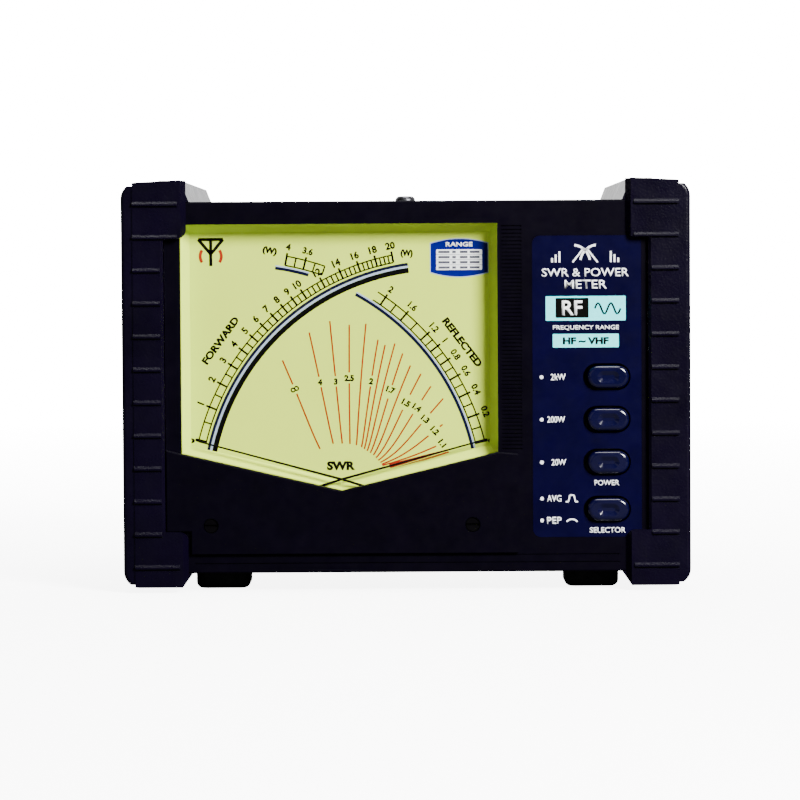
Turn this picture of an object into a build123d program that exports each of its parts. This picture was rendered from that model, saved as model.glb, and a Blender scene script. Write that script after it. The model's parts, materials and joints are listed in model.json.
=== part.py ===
"""Crossed-needle SWR and power meter, modelled as the separate pieces it is assembled from.

Frame: +X right, +Y to the rear, +Z up, millimetres. The origin is on the ground, at the
middle of the object's width and depth. Depths are measured backwards from the front of the
side guards, and front_plane turns a depth into a sketch plane that faces the user.
"""
from build123d import *
from math import atan2, cos, degrees, hypot, radians, sin, tan
import os

os.makedirs("parts", exist_ok=True)

# ---------------------------------------------------------------- driving dimensions
overall_width = 155.0
overall_height = 112.6
overall_depth = 128.0
y_front = -overall_depth / 2

# side guards
guard_depth = 117.0
guard_outer = overall_width / 2
guard_inner = 66.0
guard_bottom = 1.5
guard_block_inner = 61.3
guard_block_edge = 59.8
guard_lip_inner = 59.0
guard_top_fall = 0.8
guard_block_height = 16.0
guard_shoulder_width = 3.2
guard_shoulder_drop = 0.8
guard_corner_radius = 4.4
guard_block_radius = 2.6
guard_wall = 3.0
rib_count = 12
rib_first_z = 7.2
rib_pitch = 9.0
rib_height = 0.5
rib_top_slope = 0.65
rib_width = 1.1
rib_groove = 0.6
rib_groove_depth = 0.4
rail_edge_chamfer = 0.7
rib_inset_block = 0.8
rib_inset_rail = 0.9
rib_root = 0.2
guard_edge_radius = 1.2
pocket_margin = 9.0
pocket_corner = 4.0
pocket_boss_radius = 6.0
guard_screw_depths = (40.0, 92.0)
guard_screw_height = 59.0
guard_screw_hole_radius = 2.1
guard_screw_sink_radius = 4.2
guard_screw_sink = 5.0
guard_screw_head_radius = 3.6
guard_screw_head = 2.2
guard_screw_shank_radius = 1.9
guard_screw_tip = 62.0

# body shell
body_half_width = 65.8
body_bottom = 5.3
body_top = 106.6
sheet = 1.2
panel_depth = 113.5
panel_thickness = 1.5
cover_corner = 0.9
tab_front = 103.0
top_tab_half = 30.0
bottom_tab_half = 50.0
tab_thickness = 1.5
flange_front = 33.0
flange_top = 22.0
slot_depth_middle = 78.0
slot_pitch = 5.0
slot_count = 7
slot_length = 46.0
slot_width = 2.0
top_screw_depths = (12.0, 108.0)
top_screw_hole_radius = 1.6
top_screw_shank_radius = 1.5
top_screw_shank = 3.0
top_screw_head_radius = 2.75
top_screw_head = 1.5
top_screw_dome = 1.2

# front bezel
bezel_front = 2.5
bezel_back = 5.0
skirt_back = 18.0
skirt_thickness = 1.6
skirt_half_width = 60.0
lower_skirt_back = 11.0
band_lines = (9.9, 7.8)
band_line_half = 58.0
band_line_width = 0.4
band_line_depth = 0.3
bezel_edge_radius = 0.5

# window opening: four upright sides and a V-shaped bottom
window_left = -61.5
window_right = 25.0
window_top = 100.5
window_shoulder = 38.0
window_apex_x = -17.8
window_apex_z = 27.7
lens_margin = 1.4
lens_front = 3.7
lens_back = bezel_back
surround_margin = 1.0
surround_front = 5.1
surround_step = 7.6
surround_back = 9.4
surround_strip = 2.2
dial_front = 9.5
dial_back = 10.3
dial_skirt = 2.5

# chin cover
chin_front = 1.3
chin_right = 30.4
chin_bottom = 10.6
chin_gap = 0.15
chin_chamfer = 0.3
peg_positions = (-58.0, -17.8, 26.5)
peg_height = 22.0
peg_radius = 1.2
peg_clearance = 0.1

# ribbed strip and label plate
strip_left = 26.0
strip_right = 31.6
strip_pitch = 1.03
strip_groove = 0.42
strip_groove_depth = 0.4
label_left = 34.4
label_right = 64.2
label_corner = 2.2
label_bottom = 14.6
label_top = 97.0
label_thickness = 0.5

# push buttons
button_x = 55.0
button_heights = {
    "high_range_button": 58.4,
    "mid_range_button": 46.8,
    "low_range_button": 35.1,
    "selector_button": 22.2,
}
button_width = 11.4
button_height = 6.2
button_front = 0.6
button_back = 8.2
button_travel = 2.5
button_rim_radius = 1.1
dish_width = 6.6
dish_height = 4.0
dish_depth = 0.9
dish_taper = 60.0
button_hole_width = 13.0
button_hole_height = 7.4
button_hole_shift = -0.3
stem_size = 3.0
stem_clearance = 0.15
stem_end = 18.0
switch_front = 12.0
switch_back = 24.0
switch_half_width = 6.5
switch_half_height = 4.9
spring_wire = 0.3
spring_radius = 2.6
spring_turns = 4

# meter case and its two movements
case_left = -64.3
case_right = 27.8
case_bottom = 9.0
case_top = 103.3
case_wall = 1.6
case_floor_depth = 29.5
case_back = 31.0
case_corner = 0.8
post_half = 1.6
post_lower = 44.0
case_exit_height = 42.0
case_exit_radius = 1.3
lamp_positions = (-42.0, 6.0)
lamp_height = 90.0
lamp_tip = 16.5
lamp_bulb_radius = 2.2
lamp_base_radius = 3.0
lamp_base_front = 27.0
lamp_collar_radius = 3.8
lamp_collar = 1.2
lamp_tail = 3.0
pivot_height = 24.6
pivot_spread = 27.15
needle_rest = 14.0
needle_reach = 68.4
shaft_radius = 0.5
jewel_radius = 0.55
core_radius = 5.5
yoke_inner = 8.0
yoke_outer = 10.5
yoke_front = 15.0
yoke_back = 27.0
bridge_front = 11.4
bridge_back = 12.6
boss_front = 10.3
boss_radius = 1.3
arm_front = 10.5
arm_back = 11.1
arm_bore = 1.35
coil_front = 14.2
coil_back = 27.6
coil_bar = 0.9
coil_half_width = 7.2
coil_thickness = 2.4
coil_span = 34.0
coil_corner = 1.0
magnet_front = 16.0
magnet_back = 26.0
spoke_front = 18.0
spoke_back = 24.0
spoke_width = 2.2
yoke_bore_back = 28.0
bridge_length = 21.0
bridge_width = 4.4
bridge_leg_reach = 9.25
bridge_leg_radius = 1.15
hub_radius = 1.7
needle_thickness = 0.3
crank_inner_radius = 21.0
crank_outer_radius = 27.5
crank_inner_dip = 3.3
crank_outer_dip = 1.7
tail_reach = 6.6
tail_width = 0.9
weight_radius = 1.7
weight_length = 2.2
hairspring_back = 13.6
hairspring_height = 0.4
hairspring_first_radius = 1.0
hairspring_step = 0.35
hairspring_half_strip = 0.07
hairspring_half_turns = 6

# zero adjusters
adjuster_spread = 35.75
adjuster_height = 18.3
adjuster_head_radius = 1.85
adjuster_hole_radius = 2.05
adjuster_shaft_radius = 0.9
adjuster_eccentricity = 0.7
adjuster_pin_radius = 0.45
adjuster_front = 1.7
adjuster_head_length = 1.6
adjuster_slot_width = 0.6
adjuster_slot_depth = 0.6
adjuster_collar_radius = 1.4
adjuster_collar_front = 9.0
adjuster_pin_front = 9.8
adjuster_pin_back = 11.2
arm_ring_radius = 2.6
arm_width = 2.6
fork_clearance = 0.07

# feet and rear fittings
foot_x = 51.0
foot_size = 15.0
foot_depths = (20.0, 100.0)
foot_corner = 1.8
foot_plan_corner = 3.0
foot_screw_hole_radius = 1.6
foot_screw_sink_radius = 3.4
foot_screw_sink = 3.0
foot_screw_head_radius = 2.9
foot_screw_head = 1.6
foot_screw_shank_radius = 1.5
foot_screw_shank = 6.0
socket_x = 20.0
socket_z = 55.0
socket_flange = 25.4
socket_flange_thickness = 1.8
socket_hole_pitch = 18.2
socket_thread_radius = 7.94
socket_bore_radius = 6.3
socket_corner = 1.5
socket_spigot_radius = 5.5
panel_hole_radius = 5.6
socket_screw_hole_radius = 1.65
socket_screw_thread_radius = 1.52
socket_screw_head_radius = 2.7
socket_screw_head = 1.7
socket_screw_shank_radius = 1.5
thread_land = 2.2
thread_pitch = 1.06
thread_rings = 8
thread_ring_width = 0.45
thread_ring_depth = 0.35
contact_radius = 2.9
contact_bore_radius = 2.0
contact_bore_length = 10.0
contact_tail_radius = 1.6
contact_recess = 1.0
insulator_recess = 1.5
insulator_clearance = 0.02
line_depth = 100.0
jack_x = 48.0
jack_z = 28.0
jack_bore_radius = 2.75
jack_bore_length = 9.0
jack_front = 101.0
jack_barrel_radius = 4.0
jack_body_radius = 5.6
jack_hole_radius = 4.1
jack_proud = 3.6
jack_pin_radius = 1.0
jack_nut_radius = 6.2
jack_nut_thickness = 2.4

# coupler box behind the rear panel
box_half_width = 36.0
box_bottom = 40.0
box_top = 70.0
box_front = 82.0
box_wall = 1.5
lid_thickness = 1.0
lid_lip = 3.0
rod_radius = 1.6
rod_seat_radius = 1.62
rod_ring_radius = 2.6
toroid_positions = (-8.0, 8.0)
toroid_outer = 6.5
toroid_inner = 2.4
toroid_length = 6.0
toroid_corner = 0.6
coupler_board_thickness = 1.6
diode_positions = (-16.0, -1.5, 14.0)
diode_length = 4.0
diode_front = 87.0
diode_size = 2.0
spacer_positions = (-28.0, 28.0)
spacer_depth = 98.0
spacer_radius = 2.5
lead_hole_x = 30.0
lead_hole_z = 48.0

# control board
board_left = 31.0
board_right = 63.0
board_bottom = 12.0
board_top = 98.0
board_front = switch_back
board_thickness = 1.6
standoff_points = [(34.5, 16.0), (34.5, 94.0), (59.5, 72.0), (59.5, 94.0)]
standoff_radius = 2.6
standoff_stud_radius = 1.5
standoff_hole_radius = 1.6
standoff_nut = 1.6
chip_heights = (70.0, 50.0)
chip_left = 35.0
chip_right = 45.0
chip_half_height = 3.2
chip_thickness = 3.0
capacitor_x = 55.0
capacitor_heights = (86.0, 34.0)
capacitor_radius = 3.1
capacitor_length = 9.0
trimmer_x = 53.0
trimmer_heights = (22.0, 42.0, 60.0, 78.0)
trimmer_half = 3.0
trimmer_thickness = 3.2
trimmer_rotor_radius = 1.9
trimmer_rotor = 0.8
trimmer_slot_half = 1.5
trimmer_slot_half_width = 0.25

# internal leads
lead_radius = 1.0


# ---------------------------------------------------------------- helpers
TO_FRONT = (0, -1, 0)
past = 1.0


def front_plane(depth):
    """Sketch plane at a depth behind the guards' front: local x is +X, local y is +Z."""
    return Plane.XZ.offset(-(y_front + depth))


def point_at(x, depth, z):
    """A point from its width, its depth behind the guards' front and its height."""
    return (x, y_front + depth, z)


def disc(x, z, radius, start, end, mode=Mode.ADD):
    """A round bar or hole along the depth, between two depths."""
    with BuildSketch(front_plane(end)) as profile:
        with Locations((x, z)):
            Circle(radius)
    extrude(profile.sketch, amount=end - start, dir=TO_FRONT, mode=mode)


def block(x0, x1, z0, z1, start, end, mode=Mode.ADD):
    """A square-edged block between two depths."""
    with BuildSketch(front_plane(end)) as profile:
        with Locations(((x0 + x1) / 2, (z0 + z1) / 2)):
            Rectangle(x1 - x0, z1 - z0)
    extrude(profile.sketch, amount=end - start, dir=TO_FRONT, mode=mode)


def rounded_block(x0, x1, z0, z1, radius, start, end, mode=Mode.ADD):
    """A block with rounded upright corners, seen from the front, between two depths."""
    with BuildSketch(front_plane(end)) as profile:
        with Locations(((x0 + x1) / 2, (z0 + z1) / 2)):
            RectangleRounded(x1 - x0, z1 - z0, radius)
    extrude(profile.sketch, amount=end - start, dir=TO_FRONT, mode=mode)


def outline(points, start, end, mode=Mode.ADD):
    """A straight-sided outline, seen from the front, filled between two depths."""
    with BuildSketch(front_plane(end)) as profile:
        with BuildLine():
            Polyline(*points, close=True)
        make_face()
    extrude(profile.sketch, amount=end - start, dir=TO_FRONT, mode=mode)


def pill(x, z, width, height, start, end, mode=Mode.ADD):
    """A slot-shaped block with round ends, between two depths."""
    with BuildSketch(front_plane(end)) as profile:
        with Locations((x, z)):
            SlotOverall(width, height)
    extrude(profile.sketch, amount=end - start, dir=TO_FRONT, mode=mode)


def screw(seat, head_radius, head_height, shank_radius, shank_length):
    """A screw whose head stands on a seat plane and whose shank runs back from it."""
    with BuildSketch(seat) as head:
        Circle(head_radius)
    extrude(head.sketch, amount=head_height)
    with BuildSketch(seat) as shank:
        Circle(shank_radius)
    extrude(shank.sketch, amount=-shank_length)


def cross_recess(top, length, width, depth):
    """A cross-shaped driver recess cut down from the top plane of a screw head."""
    with BuildSketch(top) as cross:
        Rectangle(length, width)
        Rectangle(width, length)
    extrude(cross.sketch, amount=-depth, mode=Mode.SUBTRACT)


def flange_corners(side):
    """The four screw centres of one coaxial socket's flange."""
    half = socket_hole_pitch / 2
    return [(side * socket_x + dx, socket_z + dz) for dx in (-half, half) for dz in (-half, half)]


def save(builder, name):
    """Label the finished piece and write it under its own name."""
    builder.part.label = name
    export_step(builder.part, f"parts/{name}.step")


def window_points(grow):
    """Corners of the window opening, moved outwards by grow (inwards when negative)."""
    rise = (window_shoulder - window_apex_z) / (window_right - window_apex_x)
    left_rise = (window_shoulder - window_apex_z) / (window_apex_x - window_left)
    drop = grow * hypot(1, rise)
    left_drop = grow * hypot(1, left_rise)
    return [
        (window_left - grow, window_top + grow),
        (window_right + grow, window_top + grow),
        (window_right + grow, window_shoulder + grow * rise - drop),
        (window_apex_x, window_apex_z - drop),
        (window_left - grow, window_shoulder + grow * left_rise - left_drop),
    ]


# ---------------------------------------------------------------- side guards
shoulder_x = guard_outer - guard_shoulder_width
block_top = guard_bottom + guard_block_height - guard_shoulder_drop

with BuildPart() as right_guard:
    # C-shaped section that runs the whole depth, with slanted inner ends on its two rails
    outline(
        [
            (guard_lip_inner, body_top + chin_gap),
            (guard_inner, body_top + chin_gap),
            (guard_inner, body_bottom - chin_gap),
            (guard_lip_inner, body_bottom - chin_gap),
            (guard_block_inner, guard_bottom),
            (guard_outer, guard_bottom),
            (guard_outer, overall_height - guard_top_fall),
            (guard_block_inner, overall_height),
        ],
        0,
        guard_depth,
    )
    upright_edges = right_guard.edges().filter_by(Axis.Y).sort_by(Axis.X)[-2:]
    fillet(upright_edges, guard_corner_radius)
    # corner blocks that reach over the bezel
    for z_low, z_high in (
        (guard_bottom + chin_gap, block_top),
        (overall_height - guard_block_height, overall_height - chin_gap),
    ):
        with BuildSketch(front_plane(bezel_front)) as corner_block:
            with BuildLine():
                Polyline(
                    (guard_block_edge, z_low),
                    (guard_inner + 1, z_low),
                    (guard_inner + 1, z_high),
                    (guard_block_edge, z_high),
                    close=True,
                )
            make_face()
            inner_corners = corner_block.vertices().sort_by(Axis.X)[:2]
            middle = (guard_bottom + overall_height) / 2
            exposed = inner_corners.sort_by(lambda v: abs(v.Z - middle))[:1]
            fillet(exposed, guard_block_radius)
        extrude(corner_block.sketch, amount=bezel_front)
    # bevelled inner edge of both corner blocks
    with BuildSketch(Plane.XY.offset(guard_bottom)) as bevel:
        with BuildLine():
            Polyline(
                (guard_lip_inner - 1, y_front - 1),
                (guard_block_inner + 1, y_front - 1),
                (guard_block_edge, y_front + bezel_front),
                (guard_lip_inner - 1, y_front + bezel_front),
                close=True,
            )
        make_face()
    extrude(bevel.sketch, amount=overall_height, mode=Mode.SUBTRACT)
    # the lower block's foot is cut off at the slant of the rail behind it
    outline(
        [
            (guard_lip_inner, body_bottom - chin_gap),
            (guard_block_inner, guard_bottom),
            (guard_lip_inner, guard_bottom),
        ],
        -1,
        bezel_front,
        Mode.SUBTRACT,
    )
    # the shoulder along the outer edge lies lower than the ribbed band, in front and at both ends
    block(shoulder_x, guard_outer + 1, 0, overall_height + 1, -1, guard_shoulder_drop, Mode.SUBTRACT)
    block(
        shoulder_x,
        guard_outer + 1,
        overall_height - guard_top_fall - guard_shoulder_drop,
        overall_height + 1,
        -1,
        guard_depth + 1,
        Mode.SUBTRACT,
    )
    block(
        shoulder_x,
        guard_outer + 1,
        0,
        guard_bottom + guard_shoulder_drop,
        -1,
        guard_depth + 1,
        Mode.SUBTRACT,
    )
    front_outer_edges = (
        right_guard.edges()
        .filter_by(Axis.Z)
        .filter_by(lambda e: e.center().X > shoulder_x + 1 and e.center().Y < y_front + 2)
    )
    fillet(front_outer_edges, guard_edge_radius)
    # the ribbed band's face lies back from its ribs
    block(guard_lip_inner - 1, shoulder_x, 0, overall_height + 1, -1, rib_height, Mode.SUBTRACT)
    rail_edges = (
        right_guard.edges()
        .filter_by(Axis.Z)
        .filter_by(lambda e: abs(e.center().X - guard_inner) < 0.01 and e.center().Y < y_front + 1)
    )
    chamfer(rail_edges, rail_edge_chamfer)
    # ribs with a sloped top, each with a groove under it
    for index in range(rib_count):
        rib_z = rib_first_z + index * rib_pitch
        in_block = index == 0 or index >= rib_count - 2
        rib_start = guard_block_inner + rib_inset_block if in_block else guard_inner + rib_inset_rail
        rib_under = rib_z - rib_width / 2
        with BuildSketch(Plane.YZ.offset(rib_start)) as rib:
            with BuildLine():
                Polyline(
                    (y_front + rib_height + rib_root, rib_z + rib_width / 2),
                    (y_front + rib_height, rib_z + rib_width / 2),
                    (y_front, rib_z + rib_width / 2 - rib_top_slope),
                    (y_front, rib_under),
                    (y_front + rib_height + rib_root, rib_under),
                    close=True,
                )
            make_face()
        extrude(rib.sketch, amount=shoulder_x - rib_start)
        block(rib_start, shoulder_x, rib_under - rib_groove, rib_under, -1, rib_height + rib_groove_depth,
              Mode.SUBTRACT)
    # hollow moulding, open towards the body
    with BuildSketch(Plane.YZ.offset(guard_inner)) as pocket:
        with Locations((y_front + guard_depth / 2, overall_height / 2)):
            RectangleRounded(
                guard_depth - 2 * pocket_margin, overall_height - 3 * pocket_margin, pocket_corner
            )
        with Locations(*[(y_front + depth, guard_screw_height) for depth in guard_screw_depths]):
            Circle(pocket_boss_radius, mode=Mode.SUBTRACT)
    extrude(pocket.sketch, amount=guard_outer - guard_inner - guard_wall, mode=Mode.SUBTRACT)
    # counterbored screw holes from the outside
    for depth in guard_screw_depths:
        with Locations(Plane(point_at(guard_outer, depth, guard_screw_height), z_dir=(1, 0, 0))):
            CounterBoreHole(
                radius=guard_screw_hole_radius,
                counter_bore_radius=guard_screw_sink_radius,
                counter_bore_depth=guard_screw_sink,
            )
save(right_guard, "right_cheek_guard")

with BuildPart() as left_guard:
    mirror(right_guard.part, about=Plane.YZ)
save(left_guard, "left_cheek_guard")

with BuildPart() as cheek_screws:
    seat_x = guard_outer - guard_screw_sink
    for side in (-1, 1):
        for depth in guard_screw_depths:
            seat = Plane(point_at(side * seat_x, depth, guard_screw_height), z_dir=(side, 0, 0))
            screw(seat, guard_screw_head_radius, guard_screw_head, guard_screw_shank_radius,
                  seat_x - guard_screw_tip)
            cross_recess(seat.offset(guard_screw_head), 4.0, 0.9, 1.2)
save(cheek_screws, "cheek_screws")

# ---------------------------------------------------------------- front bezel
with BuildPart() as front_bezel:
    block(
        -body_half_width, body_half_width, body_bottom - 0.1, body_top + 0.1, bezel_front, bezel_back
    )
    # skirts that slip under the cover and over the floor
    skirt_top = body_top - sheet - 0.1
    skirt_bottom = body_bottom + sheet + 0.1
    block(-skirt_half_width, skirt_half_width, skirt_top - skirt_thickness, skirt_top, bezel_back, skirt_back)
    block(-skirt_half_width, skirt_half_width, skirt_bottom, skirt_bottom + skirt_thickness,
          bezel_back, lower_skirt_back)
    # window opening, and the rebate behind it for the lens
    outline(window_points(0), bezel_front - 1, bezel_back + 1, Mode.SUBTRACT)
    outline(window_points(lens_margin + 0.1), lens_front - 0.05, bezel_back + 1, Mode.SUBTRACT)
    # shallow seat for the label plate, with the button openings through it
    rounded_block(label_left, label_right, label_bottom, label_top, label_corner,
                  bezel_front - 1, bezel_front + label_thickness, Mode.SUBTRACT)
    for height in button_heights.values():
        pill(button_x + button_hole_shift, height, button_hole_width, button_hole_height,
             bezel_front - 1, bezel_back + 1, Mode.SUBTRACT)
    # fine ribbed strip beside the window
    groove_count = int((window_top - window_shoulder) / strip_pitch)
    strip_middle = (window_top + window_shoulder) / 2
    with BuildSketch(front_plane(bezel_front + strip_groove_depth)) as strip_grooves:
        with Locations(((strip_left + strip_right) / 2, strip_middle)):
            with GridLocations(0, strip_pitch, 1, groove_count):
                Rectangle(strip_right - strip_left, strip_groove)
    extrude(strip_grooves.sketch, amount=strip_groove_depth + 1, mode=Mode.SUBTRACT)
    # two moulded lines along the lower band
    for line_z in band_lines:
        block(-band_line_half, band_line_half, line_z - band_line_width / 2, line_z + band_line_width / 2,
              bezel_front - past, bezel_front + band_line_depth, Mode.SUBTRACT)
    # bearings for the zero adjusters, and holes for the chin cover's pegs
    for side in (-1, 1):
        adjuster_x = window_apex_x + side * adjuster_spread
        disc(adjuster_x, adjuster_height, adjuster_shaft_radius + 0.05, 0, 6, Mode.SUBTRACT)
        disc(adjuster_x, adjuster_height, adjuster_hole_radius, 0, bezel_front + 0.9, Mode.SUBTRACT)
    for peg_x in peg_positions:
        disc(peg_x, peg_height, peg_radius + peg_clearance, 0, bezel_back + past, Mode.SUBTRACT)
    # clearance for the top screw in the upper skirt
    with Locations(Plane(point_at(0, top_screw_depths[0], skirt_top), z_dir=(0, 0, 1))):
        Hole(radius=top_screw_hole_radius, depth=skirt_thickness + past)
    front_corners = front_bezel.edges().filter_by(Axis.X).group_by(Axis.Y)[0]
    outer_rails = front_corners.filter_by(lambda e: e.center().Z > body_top or e.center().Z < body_bottom)
    fillet(outer_rails, bezel_edge_radius)
save(front_bezel, "front_bezel")

# ---------------------------------------------------------------- chin cover over the movements
with BuildPart() as chin_cover:
    outline(
        [
            (-body_half_width, window_shoulder + 1.2),
            (window_left, window_shoulder),
            (window_apex_x, window_apex_z),
            (window_right, window_shoulder),
            (chin_right, window_shoulder - 0.4),
            (chin_right, chin_bottom),
            (-body_half_width, chin_bottom),
        ],
        chin_front,
        bezel_front,
    )
    # room for the lower corner block of the guard
    block(-body_half_width - past, -guard_lip_inner + 0.2, 0, block_top + 0.2, 0, bezel_front + past,
          Mode.SUBTRACT)
    chin_edges = chin_cover.edges().filter_by(lambda e: e.center().Y < y_front + chin_front + 0.01)
    top_edges = chin_edges.filter_by(lambda e: e.center().Z > window_apex_z)
    chamfer(top_edges, chin_chamfer)
    for side in (-1, 1):
        disc(window_apex_x + side * adjuster_spread, adjuster_height, adjuster_hole_radius, 0,
             bezel_front + 1, Mode.SUBTRACT)
    for peg_x in peg_positions:
        disc(peg_x, peg_height, peg_radius, bezel_front - 0.5, bezel_back)
save(chin_cover, "chin_cover")

# ---------------------------------------------------------------- label plate
with BuildPart() as label_plate:
    rounded_block(label_left + 0.05, label_right - 0.05, label_bottom + 0.05, label_top - 0.05,
                  label_corner, bezel_front, bezel_front + label_thickness)
    for height in button_heights.values():
        pill(button_x + button_hole_shift, height, button_hole_width, button_hole_height,
             bezel_front - 1, bezel_back, Mode.SUBTRACT)
save(label_plate, "label_plate")

# ---------------------------------------------------------------- window, surround and dial
with BuildPart() as meter_window:
    outline(window_points(lens_margin), lens_front, lens_back)
save(meter_window, "meter_window")

with BuildPart() as dial_surround:
    outline(window_points(surround_margin), surround_step, surround_back)
    with BuildSketch(front_plane(surround_step)) as bevel_front:
        with BuildLine():
            Polyline(*window_points(0), close=True)
        make_face()
    with BuildSketch(front_plane(surround_back)) as bevel_back:
        with BuildLine():
            Polyline(*window_points(-surround_strip), close=True)
        make_face()
    loft([bevel_front.sketch.face(), bevel_back.sketch.face()], ruled=True, mode=Mode.SUBTRACT)
    # raised wall on the three straight sides, clear of the needles' sweep
    wall_foot = window_shoulder + 2.0
    block(window_left - surround_margin, window_left, wall_foot, window_top, surround_front, surround_step)
    block(window_right, window_right + surround_margin, wall_foot, window_top, surround_front, surround_step)
    block(window_left - surround_margin, window_right + surround_margin, window_top,
          window_top + surround_margin, surround_front, surround_step)
save(dial_surround, "dial_surround")

with BuildPart() as dial_plate:
    dial_points = window_points(surround_margin)
    apex_drop = dial_points[3][1] - dial_skirt
    side_drop = dial_points[2][1] - dial_skirt
    outline(
        [
            dial_points[0],
            dial_points[1],
            (dial_points[1][0], side_drop),
            (window_apex_x, apex_drop),
            (dial_points[0][0], side_drop),
        ],
        dial_front,
        dial_back,
    )
save(dial_plate, "dial_plate")

# ---------------------------------------------------------------- meter case
with BuildPart() as meter_case:
    block(case_left, case_right, case_bottom, case_top, bezel_back, case_back)
    block(case_left + case_wall, case_right - case_wall, case_bottom + case_wall, case_top - case_wall,
          bezel_back - 1, case_floor_depth, Mode.SUBTRACT)
    # posts that carry the dial plate at its four corners
    for post_x in (case_left + case_wall + post_half, case_right - case_wall - post_half):
        for post_z in (post_lower, case_top - case_wall - 3.0):
            block(post_x - post_half, post_x + post_half, post_z - post_half, post_z + post_half,
                  dial_back, case_floor_depth)
    for lamp_x in lamp_positions:
        disc(lamp_x, lamp_height, lamp_base_radius + 0.1, case_floor_depth - past, case_back + past,
             Mode.SUBTRACT)
    # lead exits behind the two movements
    for side in (-1, 1):
        disc(window_apex_x + side * pivot_spread, case_exit_height, case_exit_radius,
             case_floor_depth - past, case_back + past, Mode.SUBTRACT)
    fillet(meter_case.faces().sort_by(Axis.Y)[-1].outer_wire().edges(), case_corner)
save(meter_case, "meter_case")

with BuildPart() as dial_lamps:
    for lamp_x in lamp_positions:
        disc(lamp_x, lamp_height, lamp_base_radius, lamp_base_front, case_back + lamp_tail)
        disc(lamp_x, lamp_height, lamp_bulb_radius, lamp_tip, lamp_base_front)
        disc(lamp_x, lamp_height, lamp_collar_radius, case_back, case_back + lamp_collar)
    bulb_tips = dial_lamps.faces().filter_by(lambda f: abs(f.center().Y - (y_front + lamp_tip)) < 0.01)
    fillet(bulb_tips.edges(), 1.8)
save(dial_lamps, "dial_lamps")


# ---------------------------------------------------------------- the two moving-coil movements
def movement_vector(side, radius, angle):
    """Offset from a pivot for a direction above the horizontal, towards the other pivot."""
    return (-side * radius * cos(radians(angle)), radius * sin(radians(angle)))


def movement_point(side, radius, angle):
    """The same, as a point in the front plane."""
    dx, dz = movement_vector(side, radius, angle)
    return (window_apex_x + side * pivot_spread + dx, pivot_height + dz)


coil_mean_angle = needle_rest + coil_span
support_turn = coil_mean_angle - 90.0
crank_inner_angle = needle_rest - crank_inner_dip
crank_outer_angle = needle_rest - crank_outer_dip

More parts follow.
